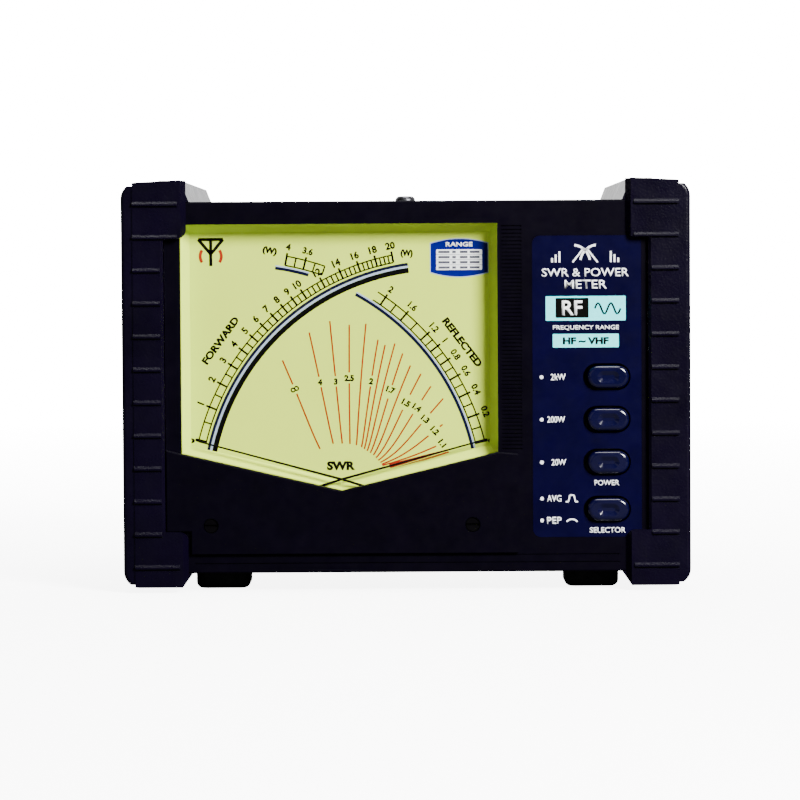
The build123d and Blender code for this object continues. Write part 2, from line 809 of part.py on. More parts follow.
for name, side, needle_depth in (("forward", 1, 6.1), ("reflected", -1, 6.8)):
    pivot_x = window_apex_x + side * pivot_spread

    # soft-iron yoke ring with the rear bearing plate
    with BuildPart() as yoke:
        disc(pivot_x, pivot_height, yoke_outer, yoke_front, case_floor_depth)
        disc(pivot_x, pivot_height, yoke_inner, yoke_front - past, yoke_bore_back, Mode.SUBTRACT)
        disc(pivot_x, pivot_height, jewel_radius, yoke_front, case_floor_depth + past, Mode.SUBTRACT)
    save(yoke, f"{name}_yoke")

    # core magnet, held in the ring by two spokes outside the coil's sweep
    with BuildPart() as magnet:
        disc(pivot_x, pivot_height, core_radius, magnet_front, magnet_back)
        with BuildSketch(front_plane(spoke_back)) as spokes:
            with Locations((pivot_x, pivot_height)):
                Rectangle(2 * yoke_inner + 2, spoke_width, rotation=-side * support_turn)
                Circle(yoke_inner, mode=Mode.INTERSECT)
        extrude(spokes.sketch, amount=spoke_back - spoke_front)
    save(magnet, f"{name}_magnet")

    # front bridge with the jewel boss and two legs that stand on the yoke
    with BuildPart() as bridge:
        with BuildSketch(front_plane(bridge_back)) as plate:
            with Locations((pivot_x, pivot_height)):
                SlotOverall(bridge_length, bridge_width, rotation=-side * support_turn)
        extrude(plate.sketch, amount=bridge_back - bridge_front)
        disc(pivot_x, pivot_height, boss_radius, boss_front, bridge_front)
        disc(pivot_x, pivot_height, jewel_radius, boss_front - past, bridge_back + past, Mode.SUBTRACT)
        for turn in (0, 180):
            leg_x, leg_z = movement_point(side, bridge_leg_reach, support_turn + turn)
            disc(leg_x, leg_z, bridge_leg_radius, bridge_back, yoke_front)
    save(bridge, f"{name}_bridge")

    # coil former and winding, on its pivot shaft
    with BuildPart() as coil:
        across = Plane(
            origin=point_at(pivot_x, (coil_front + coil_back) / 2, pivot_height),
            x_dir=(-side * cos(radians(needle_rest)), 0, sin(radians(needle_rest))),
            z_dir=(side * sin(radians(needle_rest)), 0, cos(radians(needle_rest))),
        )
        with BuildSketch(across) as loop_section:
            RectangleRounded(2 * coil_half_width, coil_back - coil_front, coil_corner)
            RectangleRounded(2 * (coil_half_width - coil_bar), coil_back - coil_front - 2 * coil_bar,
                             coil_corner / 2, mode=Mode.SUBTRACT)
        extrude(loop_section.sketch, amount=coil_thickness / 2, both=True)
        disc(pivot_x, pivot_height, shaft_radius, needle_depth - 0.3, coil_front + 0.2)
        disc(pivot_x, pivot_height, shaft_radius, coil_back - 0.2, case_floor_depth - 0.4)
    save(coil, f"{name}_coil")

    # pointer: hub, cranked blade and balance tail
    with BuildPart() as needle:
        disc(pivot_x, pivot_height, hub_radius, needle_depth - 0.2, needle_depth + 0.6)
        # the blade's corners, from tip to hub: angle, radius and half width
        stations = (
            (needle_rest, needle_reach, 0.22),
            (crank_outer_angle, crank_outer_radius, 0.32),
            (crank_inner_angle, crank_inner_radius, 0.34),
            (crank_inner_angle, 1.0, 0.42),
        )
        upper = []
        lower = []
        for angle, radius, half in stations:
            spread = degrees(half / radius)
            upper.append(movement_point(side, radius, angle + spread))
            lower.append(movement_point(side, radius, angle - spread))
        outline(upper + lower[::-1], needle_depth, needle_depth + needle_thickness)
        tail_near = movement_point(side, 1.0, crank_inner_angle + 180)
        tail_far = movement_point(side, tail_reach, crank_inner_angle + 180)
        tail_angle = degrees(atan2(tail_far[1] - tail_near[1], tail_far[0] - tail_near[0]))
        with BuildSketch(front_plane(needle_depth + needle_thickness)) as tail:
            with Locations(((tail_near[0] + tail_far[0]) / 2, (tail_near[1] + tail_far[1]) / 2)):
                Rectangle(tail_reach - 0.8, tail_width, rotation=tail_angle)
        extrude(tail.sketch, amount=needle_thickness)
        weight_front = needle_depth - needle_thickness
        disc(tail_far[0], tail_far[1], weight_radius, weight_front, weight_front + weight_length)
        disc(pivot_x, pivot_height, shaft_radius, 0, bridge_back, Mode.SUBTRACT)
    save(needle, f"{name}_needle")

    # flat spiral hairspring between the bridge and the coil
    with BuildPart() as hairspring:
        with BuildSketch(front_plane(hairspring_back)) as spiral:
            for half_turn in range(hairspring_half_turns):
                radius = hairspring_first_radius + hairspring_step * half_turn
                centre = pivot_x + (hairspring_step if half_turn % 2 else 0.0)
                start_angle = 180 if half_turn % 2 else 0
                inner = radius - hairspring_half_strip
                outer = radius + hairspring_half_strip
                with BuildLine():
                    CenterArc((centre, pivot_height), outer, start_angle, 180)
                    CenterArc((centre, pivot_height), inner, start_angle, 180)
                    for end in (-1, 1):
                        Line((centre + end * inner, pivot_height), (centre + end * outer, pivot_height))
                make_face()
        extrude(spiral.sketch, amount=hairspring_height)
    save(hairspring, f"{name}_hairspring")

    # zero adjuster: slotted head, shaft in the bezel, eccentric pin in the arm's fork
    screw_x = window_apex_x + side * adjuster_spread
    reach = hypot(screw_x - pivot_x, adjuster_height - pivot_height)
    unit_x = (screw_x - pivot_x) / reach
    unit_z = (adjuster_height - pivot_height) / reach
    pin_x = screw_x + adjuster_eccentricity * unit_x
    pin_z = adjuster_height + adjuster_eccentricity * unit_z
    with BuildPart() as zero_screw:
        head_back = adjuster_front + adjuster_head_length
        disc(screw_x, adjuster_height, adjuster_head_radius, adjuster_front, head_back)
        disc(screw_x, adjuster_height, adjuster_shaft_radius, head_back, adjuster_pin_front - 0.2)
        disc(screw_x, adjuster_height, adjuster_collar_radius, adjuster_collar_front, adjuster_pin_front)
        disc(pin_x, pin_z, adjuster_pin_radius, adjuster_pin_front, adjuster_pin_back)
        block(screw_x - 2, screw_x + 2, adjuster_height - adjuster_slot_width / 2,
              adjuster_height + adjuster_slot_width / 2, 0, adjuster_front + adjuster_slot_depth, Mode.SUBTRACT)
    save(zero_screw, f"{name}_zero_screw")

    arm_turn = degrees(atan2(unit_z, unit_x))
    fork_reach = reach + adjuster_eccentricity
    with BuildPart() as zero_arm:
        with BuildSketch(front_plane(arm_back)) as arm:
            with Locations((pivot_x, pivot_height)):
                Circle(arm_ring_radius)
            with Locations(Location((pivot_x, pivot_height, 0), (0, 0, arm_turn))):
                with Locations((fork_reach / 2 + 0.6, 0)):
                    Rectangle(fork_reach + 1.2, arm_width)
                with Locations((fork_reach + 0.4, 0)):
                    Rectangle(2.6, 2 * (adjuster_pin_radius + fork_clearance), mode=Mode.SUBTRACT)
            with Locations((pivot_x, pivot_height)):
                Circle(arm_bore, mode=Mode.SUBTRACT)
        extrude(arm.sketch, amount=arm_back - arm_front)
    save(zero_arm, f"{name}_zero_arm")

# ---------------------------------------------------------------- push buttons and switches
for name, height in button_heights.items():
    with BuildPart() as button:
        pill(button_x, height, button_width, button_height, button_front, button_back)
        rim = button.faces().sort_by(Axis.Y)[0].outer_wire().edges()
        fillet(rim, button_rim_radius)
        # dished face
        with BuildSketch(front_plane(button_front - 0.2)) as dish_top:
            with Locations((button_x, height)):
                SlotOverall(dish_width, dish_height)
        extrude(dish_top.sketch, amount=-dish_depth, taper=dish_taper, mode=Mode.SUBTRACT)
        block(button_x - stem_size / 2, button_x + stem_size / 2, height - stem_size / 2,
              height + stem_size / 2, button_back, stem_end)
    save(button, name)

    with BuildPart() as spring:
        ring_gap = (switch_front - button_back - 2 * spring_wire) / (spring_turns - 1)
        for turn in range(spring_turns):
            ring_depth = button_back + spring_wire + turn * ring_gap
            with BuildSketch(front_plane(ring_depth + spring_wire)) as ring:
                with Locations((button_x, height)):
                    Circle(spring_radius + spring_wire)
                    Circle(spring_radius - spring_wire, mode=Mode.SUBTRACT)
            extrude(ring.sketch, amount=2 * spring_wire)
        for turn in range(spring_turns - 1):
            link_depth = button_back + spring_wire + turn * ring_gap
            link_side = 1 if turn % 2 == 0 else -1
            disc(button_x, height + link_side * spring_radius, spring_wire, link_depth, link_depth + ring_gap)
    save(spring, name.replace("button", "spring"))


def switch_body(heights, name):
    """Push switches side by side in one housing, with a square well for each stem."""
    with BuildPart() as switch:
        well = stem_size / 2 + stem_clearance
        block(button_x - switch_half_width, button_x + switch_half_width, min(heights) - switch_half_height,
              max(heights) + switch_half_height, switch_front, switch_back)
        for height in heights:
            block(button_x - well, button_x + well, height - well, height + well,
                  switch_front - 1, stem_end + button_travel + 0.5, Mode.SUBTRACT)
    save(switch, name)


all_heights = list(button_heights.values())
switch_body(all_heights[:3], "range_switch_bank")
switch_body(all_heights[3:], "selector_switch")

# ---------------------------------------------------------------- control board
rear_face = board_front + board_thickness
with BuildPart() as main_pcb:
    block(board_left, board_right, board_bottom, board_top, board_front, board_front + board_thickness)
    for x, z in standoff_points:
        disc(x, z, standoff_hole_radius, board_front - past, rear_face + past, Mode.SUBTRACT)
    # two integrated circuits and two electrolytic capacitors on the rear face
    for chip_z in chip_heights:
        block(chip_left, chip_right, chip_z - chip_half_height, chip_z + chip_half_height,
              rear_face, rear_face + chip_thickness)
    for capacitor_z in capacitor_heights:
        disc(capacitor_x, capacitor_z, capacitor_radius, rear_face, rear_face + capacitor_length)
save(main_pcb, "main_pcb")

with BuildPart() as pcb_standoffs:
    for x, z in standoff_points:
        disc(x, z, standoff_radius, bezel_back, board_front)
        disc(x, z, standoff_stud_radius, board_front, rear_face + 0.2)
        disc(x, z, standoff_radius, rear_face, rear_face + standoff_nut)
save(pcb_standoffs, "pcb_standoffs")

with BuildPart() as calibration_trimmers:
    rotor_rear = rear_face + trimmer_thickness + trimmer_rotor
    for trimmer_z in trimmer_heights:
        block(trimmer_x - trimmer_half, trimmer_x + trimmer_half, trimmer_z - trimmer_half,
              trimmer_z + trimmer_half, rear_face, rear_face + trimmer_thickness)
        disc(trimmer_x, trimmer_z, trimmer_rotor_radius, rear_face + trimmer_thickness, rotor_rear)
        block(trimmer_x - trimmer_slot_half, trimmer_x + trimmer_slot_half,
              trimmer_z - trimmer_slot_half_width, trimmer_z + trimmer_slot_half_width,
              rotor_rear - 0.5, rotor_rear + past, Mode.SUBTRACT)
save(calibration_trimmers, "calibration_trimmers")

# ---------------------------------------------------------------- cover, floor and rear panel
with BuildPart() as top_cover:
    block(-body_half_width, body_half_width, body_bottom + sheet + 0.2, body_top, bezel_back + 0.1, panel_depth)
    block(-body_half_width + sheet, body_half_width - sheet, 0, body_top - sheet, 0, panel_depth + 1,
          Mode.SUBTRACT)
    shell_edges = top_cover.edges().filter_by(Axis.Y).group_by(Axis.Z)[-1]
    fillet(shell_edges, cover_corner)
    # holes for the top screws, the guard screws and the cooling slots
    for depth in top_screw_depths:
        with Locations(Plane(point_at(0, depth, body_top), z_dir=(0, 0, 1))):
            Hole(radius=top_screw_hole_radius, depth=4.0)
    with BuildSketch(Plane.XY.offset(body_top + past)) as slots:
        with Locations((0, y_front + slot_depth_middle)):
            with GridLocations(0, slot_pitch, 1, slot_count):
                SlotOverall(slot_length, slot_width)
    extrude(slots.sketch, amount=-4.0, mode=Mode.SUBTRACT)
    for depth in guard_screw_depths:
        with BuildSketch(Plane.YZ.offset(-body_half_width - 1)) as side_hole:
            with Locations((y_front + depth, guard_screw_height)):
                Circle(guard_screw_shank_radius + 0.1)
        extrude(side_hole.sketch, amount=2 * body_half_width + 2, mode=Mode.SUBTRACT)
save(top_cover, "top_cover")

with BuildPart() as bottom_chassis:
    inner_half = body_half_width - sheet - 0.2
    block(-body_half_width, body_half_width, body_bottom, body_bottom + sheet, bezel_back + 0.1, panel_depth)
    for side in (-1, 1):
        x0, x1 = sorted((side * inner_half, side * (inner_half - sheet)))
        block(x0, x1, body_bottom + sheet, flange_top, flange_front, panel_depth)
    for side in (-1, 1):
        for depth in foot_depths:
            with Locations(Plane(point_at(side * foot_x, depth, body_bottom), z_dir=(0, 0, -1))):
                Hole(radius=foot_screw_hole_radius, depth=sheet + past)
save(bottom_chassis, "bottom_chassis")

with BuildPart() as rear_panel:
    block(-body_half_width + 0.1, body_half_width - 0.1, body_bottom, body_top - 0.1,
          panel_depth, panel_depth + panel_thickness)
    tab_top = body_top - sheet - 0.1
    block(-top_tab_half, top_tab_half, tab_top - tab_thickness, tab_top, tab_front, panel_depth)
    with Locations(Plane(point_at(0, top_screw_depths[1], tab_top), z_dir=(0, 0, 1))):
        Hole(radius=top_screw_hole_radius, depth=4.0)
    tab_bottom = body_bottom + sheet
    block(-bottom_tab_half, bottom_tab_half, tab_bottom, tab_bottom + tab_thickness, tab_front, panel_depth)
    panel_cut = (panel_depth - past, panel_depth + panel_thickness + past, Mode.SUBTRACT)
    for side in (-1, 1):
        disc(side * socket_x, socket_z, panel_hole_radius, *panel_cut)
        for x, z in flange_corners(side):
            disc(x, z, socket_screw_hole_radius, *panel_cut)
    disc(jack_x, jack_z, jack_hole_radius, *panel_cut)
save(rear_panel, "rear_panel")

with BuildPart() as case_screws:
    seats = [Plane(point_at(0, depth, body_top), z_dir=(0, 0, 1)) for depth in top_screw_depths]
    for seat in seats:
        screw(seat, top_screw_head_radius, top_screw_head, top_screw_shank_radius, top_screw_shank)
    domes = case_screws.faces().filter_by(Axis.Z).group_by(Axis.Z)[-1]
    fillet(domes.edges(), top_screw_dome)
    for seat in seats:
        cross_recess(seat.offset(top_screw_head), 2.6, 0.6, 0.8)
save(case_screws, "case_screws")

# ---------------------------------------------------------------- feet
with BuildPart() as rubber_feet:
    with BuildSketch(Plane.XY.offset(body_bottom)) as foot_plan:
        for side in (-1, 1):
            with Locations(*[(side * foot_x, y_front + depth) for depth in foot_depths]):
                RectangleRounded(foot_size, foot_size, foot_plan_corner)
    extrude(foot_plan.sketch, amount=-body_bottom)
    fillet(rubber_feet.faces().filter_by(Axis.Z).group_by(Axis.Z)[0].edges(), foot_corner)
    for side in (-1, 1):
        for depth in foot_depths:
            with Locations(Plane(point_at(side * foot_x, depth, 0), z_dir=(0, 0, -1))):
                CounterBoreHole(
                    radius=foot_screw_hole_radius,
                    counter_bore_radius=foot_screw_sink_radius,
                    counter_bore_depth=foot_screw_sink,
                )
save(rubber_feet, "rubber_feet")

with BuildPart() as foot_screws:
    for side in (-1, 1):
        for depth in foot_depths:
            seat = Plane(point_at(side * foot_x, depth, foot_screw_sink), z_dir=(0, 0, -1))
            screw(seat, foot_screw_head_radius, foot_screw_head, foot_screw_shank_radius, foot_screw_shank)
            cross_recess(seat.offset(foot_screw_head), 3.0, 0.7, 0.9)
save(foot_screws, "foot_screws")

# ---------------------------------------------------------------- coaxial sockets
panel_rear = panel_depth + panel_thickness
flange_rear = panel_rear + socket_flange_thickness
for name, side in (("tx", -1), ("ant", 1)):
    with BuildPart() as socket:
        with BuildSketch(front_plane(flange_rear)) as flange:
            with Locations((side * socket_x, socket_z)):
                RectangleRounded(socket_flange, socket_flange, socket_corner)
        extrude(flange.sketch, amount=socket_flange_thickness)
        disc(side * socket_x, socket_z, socket_thread_radius, flange_rear, overall_depth)
        # turned thread, as shallow rings
        for ring_index in range(thread_rings):
            ring_start = flange_rear + thread_land + ring_index * thread_pitch
            with BuildSketch(front_plane(ring_start + thread_ring_width)) as ring:
                with Locations((side * socket_x, socket_z)):
                    Circle(socket_thread_radius + past)
                    Circle(socket_thread_radius - thread_ring_depth, mode=Mode.SUBTRACT)
            extrude(ring.sketch, amount=thread_ring_width, mode=Mode.SUBTRACT)
        disc(side * socket_x, socket_z, socket_bore_radius, panel_rear - past, overall_depth + past,
             Mode.SUBTRACT)
        for x, z in flange_corners(side):
            disc(x, z, socket_screw_hole_radius, panel_rear - past, flange_rear + past, Mode.SUBTRACT)
    save(socket, f"{name}_socket")

with BuildPart() as socket_insulators:
    for side in (-1, 1):
        disc(side * socket_x, socket_z, socket_bore_radius - insulator_clearance, panel_rear,
             overall_depth - insulator_recess)
        disc(side * socket_x, socket_z, socket_spigot_radius, panel_depth - 2.0, panel_rear)
        disc(side * socket_x, socket_z, contact_radius + insulator_clearance, box_front, overall_depth,
             Mode.SUBTRACT)
save(socket_insulators, "socket_insulators")

with BuildPart() as socket_contacts:
    for side in (-1, 1):
        disc(side * socket_x, socket_z, contact_radius, panel_depth - 3.0, overall_depth - contact_recess)
        disc(side * socket_x, socket_z, contact_tail_radius, line_depth - 1.0, panel_depth - 3.0)
        disc(side * socket_x, socket_z, contact_bore_radius,
             overall_depth - contact_recess - contact_bore_length, overall_depth + past, Mode.SUBTRACT)
        disc(side * socket_x, socket_z, contact_tail_radius + 0.6, line_depth - rod_ring_radius,
             line_depth + rod_ring_radius)
        with BuildSketch(Plane.YZ.offset(side * (socket_x - 4))) as rod_seat:
            with Locations((y_front + line_depth, socket_z)):
                Circle(rod_seat_radius)
        extrude(rod_seat.sketch, amount=side * 4.0, mode=Mode.SUBTRACT)
save(socket_contacts, "socket_contacts")

with BuildPart() as socket_screws:
    for side in (-1, 1):
        for x, z in flange_corners(side):
            head_rear = flange_rear + socket_screw_head
            disc(x, z, socket_screw_head_radius, flange_rear, head_rear)
            disc(x, z, socket_screw_shank_radius, panel_depth - box_wall, flange_rear)
            cross_recess(Plane(point_at(x, head_rear, z), z_dir=(0, 1, 0)), 3.4, 0.7, 0.8)
save(socket_screws, "socket_screws")

# ---------------------------------------------------------------- power inlet
with BuildPart() as dc_jack:
    jack_rear = panel_rear + jack_proud
    bore_front = jack_rear - jack_bore_length
    disc(jack_x, jack_z, jack_barrel_radius, jack_front, jack_rear)
    disc(jack_x, jack_z, jack_body_radius, jack_front, panel_depth)
    disc(jack_x, jack_z, jack_bore_radius, bore_front, jack_rear + past, Mode.SUBTRACT)
    disc(jack_x, jack_z, jack_pin_radius, bore_front - past, jack_rear - 1.0)
save(dc_jack, "dc_jack")

with BuildPart() as dc_jack_nut:
    with BuildSketch(front_plane(panel_rear + jack_nut_thickness)) as hexagon:
        with Locations((jack_x, jack_z)):
            RegularPolygon(jack_nut_radius, 6)
            Circle(jack_barrel_radius + 0.05, mode=Mode.SUBTRACT)
    extrude(hexagon.sketch, amount=jack_nut_thickness)
save(dc_jack_nut, "dc_jack_nut")

# ---------------------------------------------------------------- directional coupler
with BuildPart() as coupler_box:
    block(-box_half_width, box_half_width, box_bottom, box_top, box_front, panel_depth)
    block(-box_half_width + box_wall, box_half_width - box_wall, box_bottom + box_wall, box_top + 1,
          box_front + box_wall, panel_depth - box_wall, Mode.SUBTRACT)
    wall_cut = (panel_depth - box_wall - past, panel_depth + past, Mode.SUBTRACT)
    for side in (-1, 1):
        disc(side * socket_x, socket_z, panel_hole_radius, *wall_cut)
        for x, z in flange_corners(side):
            disc(x, z, socket_screw_thread_radius, *wall_cut)
    disc(lead_hole_x, lead_hole_z, case_exit_radius, box_front - past, box_front + box_wall + past,
         Mode.SUBTRACT)
save(coupler_box, "coupler_box")

with BuildPart() as coupler_lid:
    block(-box_half_width, box_half_width, box_top, box_top + lid_thickness, box_front, panel_depth)
    lip_half = box_half_width - box_wall - 0.1
    lip_front = box_front + box_wall + 0.1
    lip_back = panel_depth - box_wall - 0.1
    for start, end in ((lip_front, lip_front + lid_thickness), (lip_back - lid_thickness, lip_back)):
        block(-lip_half, lip_half, box_top - lid_lip, box_top, start, end)
save(coupler_lid, "coupler_lid")

with BuildPart() as line_rod:
    with BuildSketch(Plane.YZ.offset(-socket_x)) as rod:
        with Locations((y_front + line_depth, socket_z)):
            Circle(rod_radius)
    extrude(rod.sketch, amount=2 * socket_x)
save(line_rod, "line_rod")

with BuildPart() as coupler_toroids:
    for toroid_x in toroid_positions:
        with BuildSketch(Plane.YZ.offset(toroid_x - toroid_length / 2)) as toroid:
            with Locations((y_front + line_depth, socket_z)):
                Circle(toroid_outer)
                Circle(toroid_inner, mode=Mode.SUBTRACT)
        extrude(toroid.sketch, amount=toroid_length)
    fillet(coupler_toroids.edges().filter_by(GeomType.CIRCLE), toroid_corner)
save(coupler_toroids, "coupler_toroids")

with BuildPart() as coupler_board:
    board_z = socket_z - toroid_outer
    board_under = board_z - coupler_board_thickness
    board_half = box_half_width - box_wall - 0.3
    block(-board_half, board_half, board_under, board_z, box_front + box_wall + 0.3,
          panel_depth - box_wall - 0.3)
    for spacer_x in spacer_positions:
        foot_point = point_at(spacer_x, spacer_depth, box_bottom + box_wall)
        with BuildSketch(Plane(foot_point, z_dir=(0, 0, 1))) as spacer:
            Circle(spacer_radius)
        extrude(spacer.sketch, amount=board_under - box_bottom - box_wall)
    for diode_x in diode_positions:
        block(diode_x, diode_x + diode_length, board_z, board_z + diode_size, diode_front,
              diode_front + diode_size)
save(coupler_board, "coupler_board")


# ---------------------------------------------------------------- internal leads
def lead(points, radius):
    """A round lead along straight runs joined by tangent arcs."""
    vectors = [Vector(*point_at(*point)) for point in points]
    arcs = []
    for before, corner, after in zip(vectors, vectors[1:], vectors[2:]):
        turn = (corner - before).get_angle(after - corner)
        shorter = min((corner - before).length, (after - corner).length)
        arcs.append(0.45 * shorter / tan(radians(turn) / 2))
    with BuildLine(mode=Mode.PRIVATE) as route:
        FilletPolyline(*vectors, radius=arcs)
    with BuildSketch(Plane(origin=vectors[0], z_dir=vectors[1] - vectors[0]), mode=Mode.PRIVATE) as section:
        Circle(radius)
    sweep(section.sketch, path=route.wire())


forward_exit = window_apex_x + pivot_spread
reflected_exit = window_apex_x - pivot_spread
case_exit = case_floor_depth + 0.1
chip_x = (chip_left + chip_right) / 2
chip_rear = rear_face + chip_thickness + 0.2
board_rear = rear_face + 0.2
with BuildPart() as signal_leads:
    lead([(forward_exit, case_exit, case_exit_height), (forward_exit, 44.0, case_exit_height),
          (chip_x, 46.0, chip_heights[1]), (chip_x, chip_rear, chip_heights[1])], lead_radius)
    lead([(reflected_exit, case_exit, case_exit_height), (reflected_exit, 46.0, case_exit_height),
          (-10.0, 52.0, 60.0), (chip_x, 50.0, chip_heights[0]), (chip_x, chip_rear, chip_heights[0])],
         lead_radius)
    lead([(lead_hole_x, box_front + box_wall - 0.1, lead_hole_z), (lead_hole_x, 66.0, lead_hole_z),
          (47.0, 48.0, 55.0), (47.0, board_rear, 55.0)], lead_radius)
save(signal_leads, "signal_leads")

with BuildPart() as power_lead:
    lead([(jack_x, jack_front - 0.1, jack_z), (jack_x, 78.0, jack_z), (46.0, 46.0, 32.0),
          (46.0, board_rear, 32.0)], lead_radius)
save(power_lead, "power_lead")
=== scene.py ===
import json
from itertools import dropwhile, takewhile
from math import atan2, cos, degrees, hypot, pi, radians, sin, sqrt

import bmesh
import bpy
from mathutils import Matrix, Vector


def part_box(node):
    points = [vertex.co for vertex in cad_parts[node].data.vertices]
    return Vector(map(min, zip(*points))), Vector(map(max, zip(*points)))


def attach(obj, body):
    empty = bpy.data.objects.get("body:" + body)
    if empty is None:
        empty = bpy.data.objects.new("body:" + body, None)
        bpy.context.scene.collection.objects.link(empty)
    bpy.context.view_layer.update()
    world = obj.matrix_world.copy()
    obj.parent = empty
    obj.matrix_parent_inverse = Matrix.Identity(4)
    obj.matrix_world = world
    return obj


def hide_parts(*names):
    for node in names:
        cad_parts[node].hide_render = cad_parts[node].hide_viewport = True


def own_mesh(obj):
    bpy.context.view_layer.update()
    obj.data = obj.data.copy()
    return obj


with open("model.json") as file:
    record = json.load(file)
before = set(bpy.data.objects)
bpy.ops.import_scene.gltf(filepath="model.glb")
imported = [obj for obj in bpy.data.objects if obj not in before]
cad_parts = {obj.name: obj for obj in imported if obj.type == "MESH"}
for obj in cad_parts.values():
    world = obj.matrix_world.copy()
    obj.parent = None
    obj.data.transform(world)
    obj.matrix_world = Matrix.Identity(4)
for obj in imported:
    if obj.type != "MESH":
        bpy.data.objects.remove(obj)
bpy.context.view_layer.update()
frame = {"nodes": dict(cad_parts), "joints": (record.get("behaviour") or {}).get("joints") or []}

MM = 0.001
nodes = frame["nodes"]
joints = {joint["name"]: joint for joint in frame["joints"]}
HOUSING = "housing"


def node_box(name):
    """A node's lowest and highest corners, in millimetres."""
    low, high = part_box(name)
    return low / MM, high / MM


# ================================================================ camera and light
front_y = node_box("right_cheek_guard")[0].y
CAMERA_DISTANCE = 870.0
CAMERA_X = 0.7
CAMERA_HEIGHT = 89.2
YAW = radians(0.161)
PITCH = radians(2.416)
ROLL = radians(-0.35)
LENS = 144.0

camera_data = bpy.data.cameras.new("camera")
camera_data.lens = LENS
camera_data.sensor_width = 36.0
camera_data.clip_end = 50.0
camera = bpy.data.objects.new("camera", camera_data)
bpy.context.scene.collection.objects.link(camera)
camera.location = Vector((CAMERA_X, front_y - CAMERA_DISTANCE, CAMERA_HEIGHT)) * MM
aim = Vector((-sin(YAW) * cos(PITCH), cos(YAW) * cos(PITCH), -sin(PITCH)))
camera.rotation_mode = "QUATERNION"
level = aim.to_track_quat("-Z", "Y")
camera.rotation_quaternion = level @ Matrix.Rotation(ROLL, 3, "Z").to_quaternion()
bpy.context.scene.camera = camera


def area_light(name, place, size, power):
    """A square soft light aimed at the middle of the meter."""
    data = bpy.data.lights.new(name, "AREA")
    data.size = size
    data.energy = power
    light = bpy.data.objects.new(name, data)
    bpy.context.scene.collection.objects.link(light)
    light.location = place
    target = Vector((0, 0, 0.055))
    light.rotation_mode = "QUATERNION"
    light.rotation_quaternion = (target - Vector(place)).to_track_quat("-Z", "Y")


# key from the upper right, a faint fill from the left, and a broad light above for the upward edges
area_light("key", (0.50, -0.72, 0.50), 0.32, 34.0)
area_light("fill", (-0.55, -0.95, 0.40), 0.7, 0.5)
area_light("overhead", (0.05, -0.02, 1.28), 0.7, 22.0)

world = bpy.data.worlds.new("studio")
world.use_nodes = True
bpy.context.scene.world = world
background = world.node_tree.nodes["Background"]
background.inputs["Color"].default_value = (1, 1, 1, 1)
WORLD_LIGHT = 0.07
WHITE = 16.0
# the studio is white to look at, and dimmer as a light, so that the black case stays black
sight = world.node_tree.nodes.new("ShaderNodeLightPath")
brightness = world.node_tree.nodes.new("ShaderNodeMapRange")
brightness.inputs["To Min"].default_value = WORLD_LIGHT
brightness.inputs["To Max"].default_value = WHITE
world.node_tree.links.new(sight.outputs["Is Camera Ray"], brightness.inputs["Value"])
world.node_tree.links.new(brightness.outputs["Result"], background.inputs["Strength"])


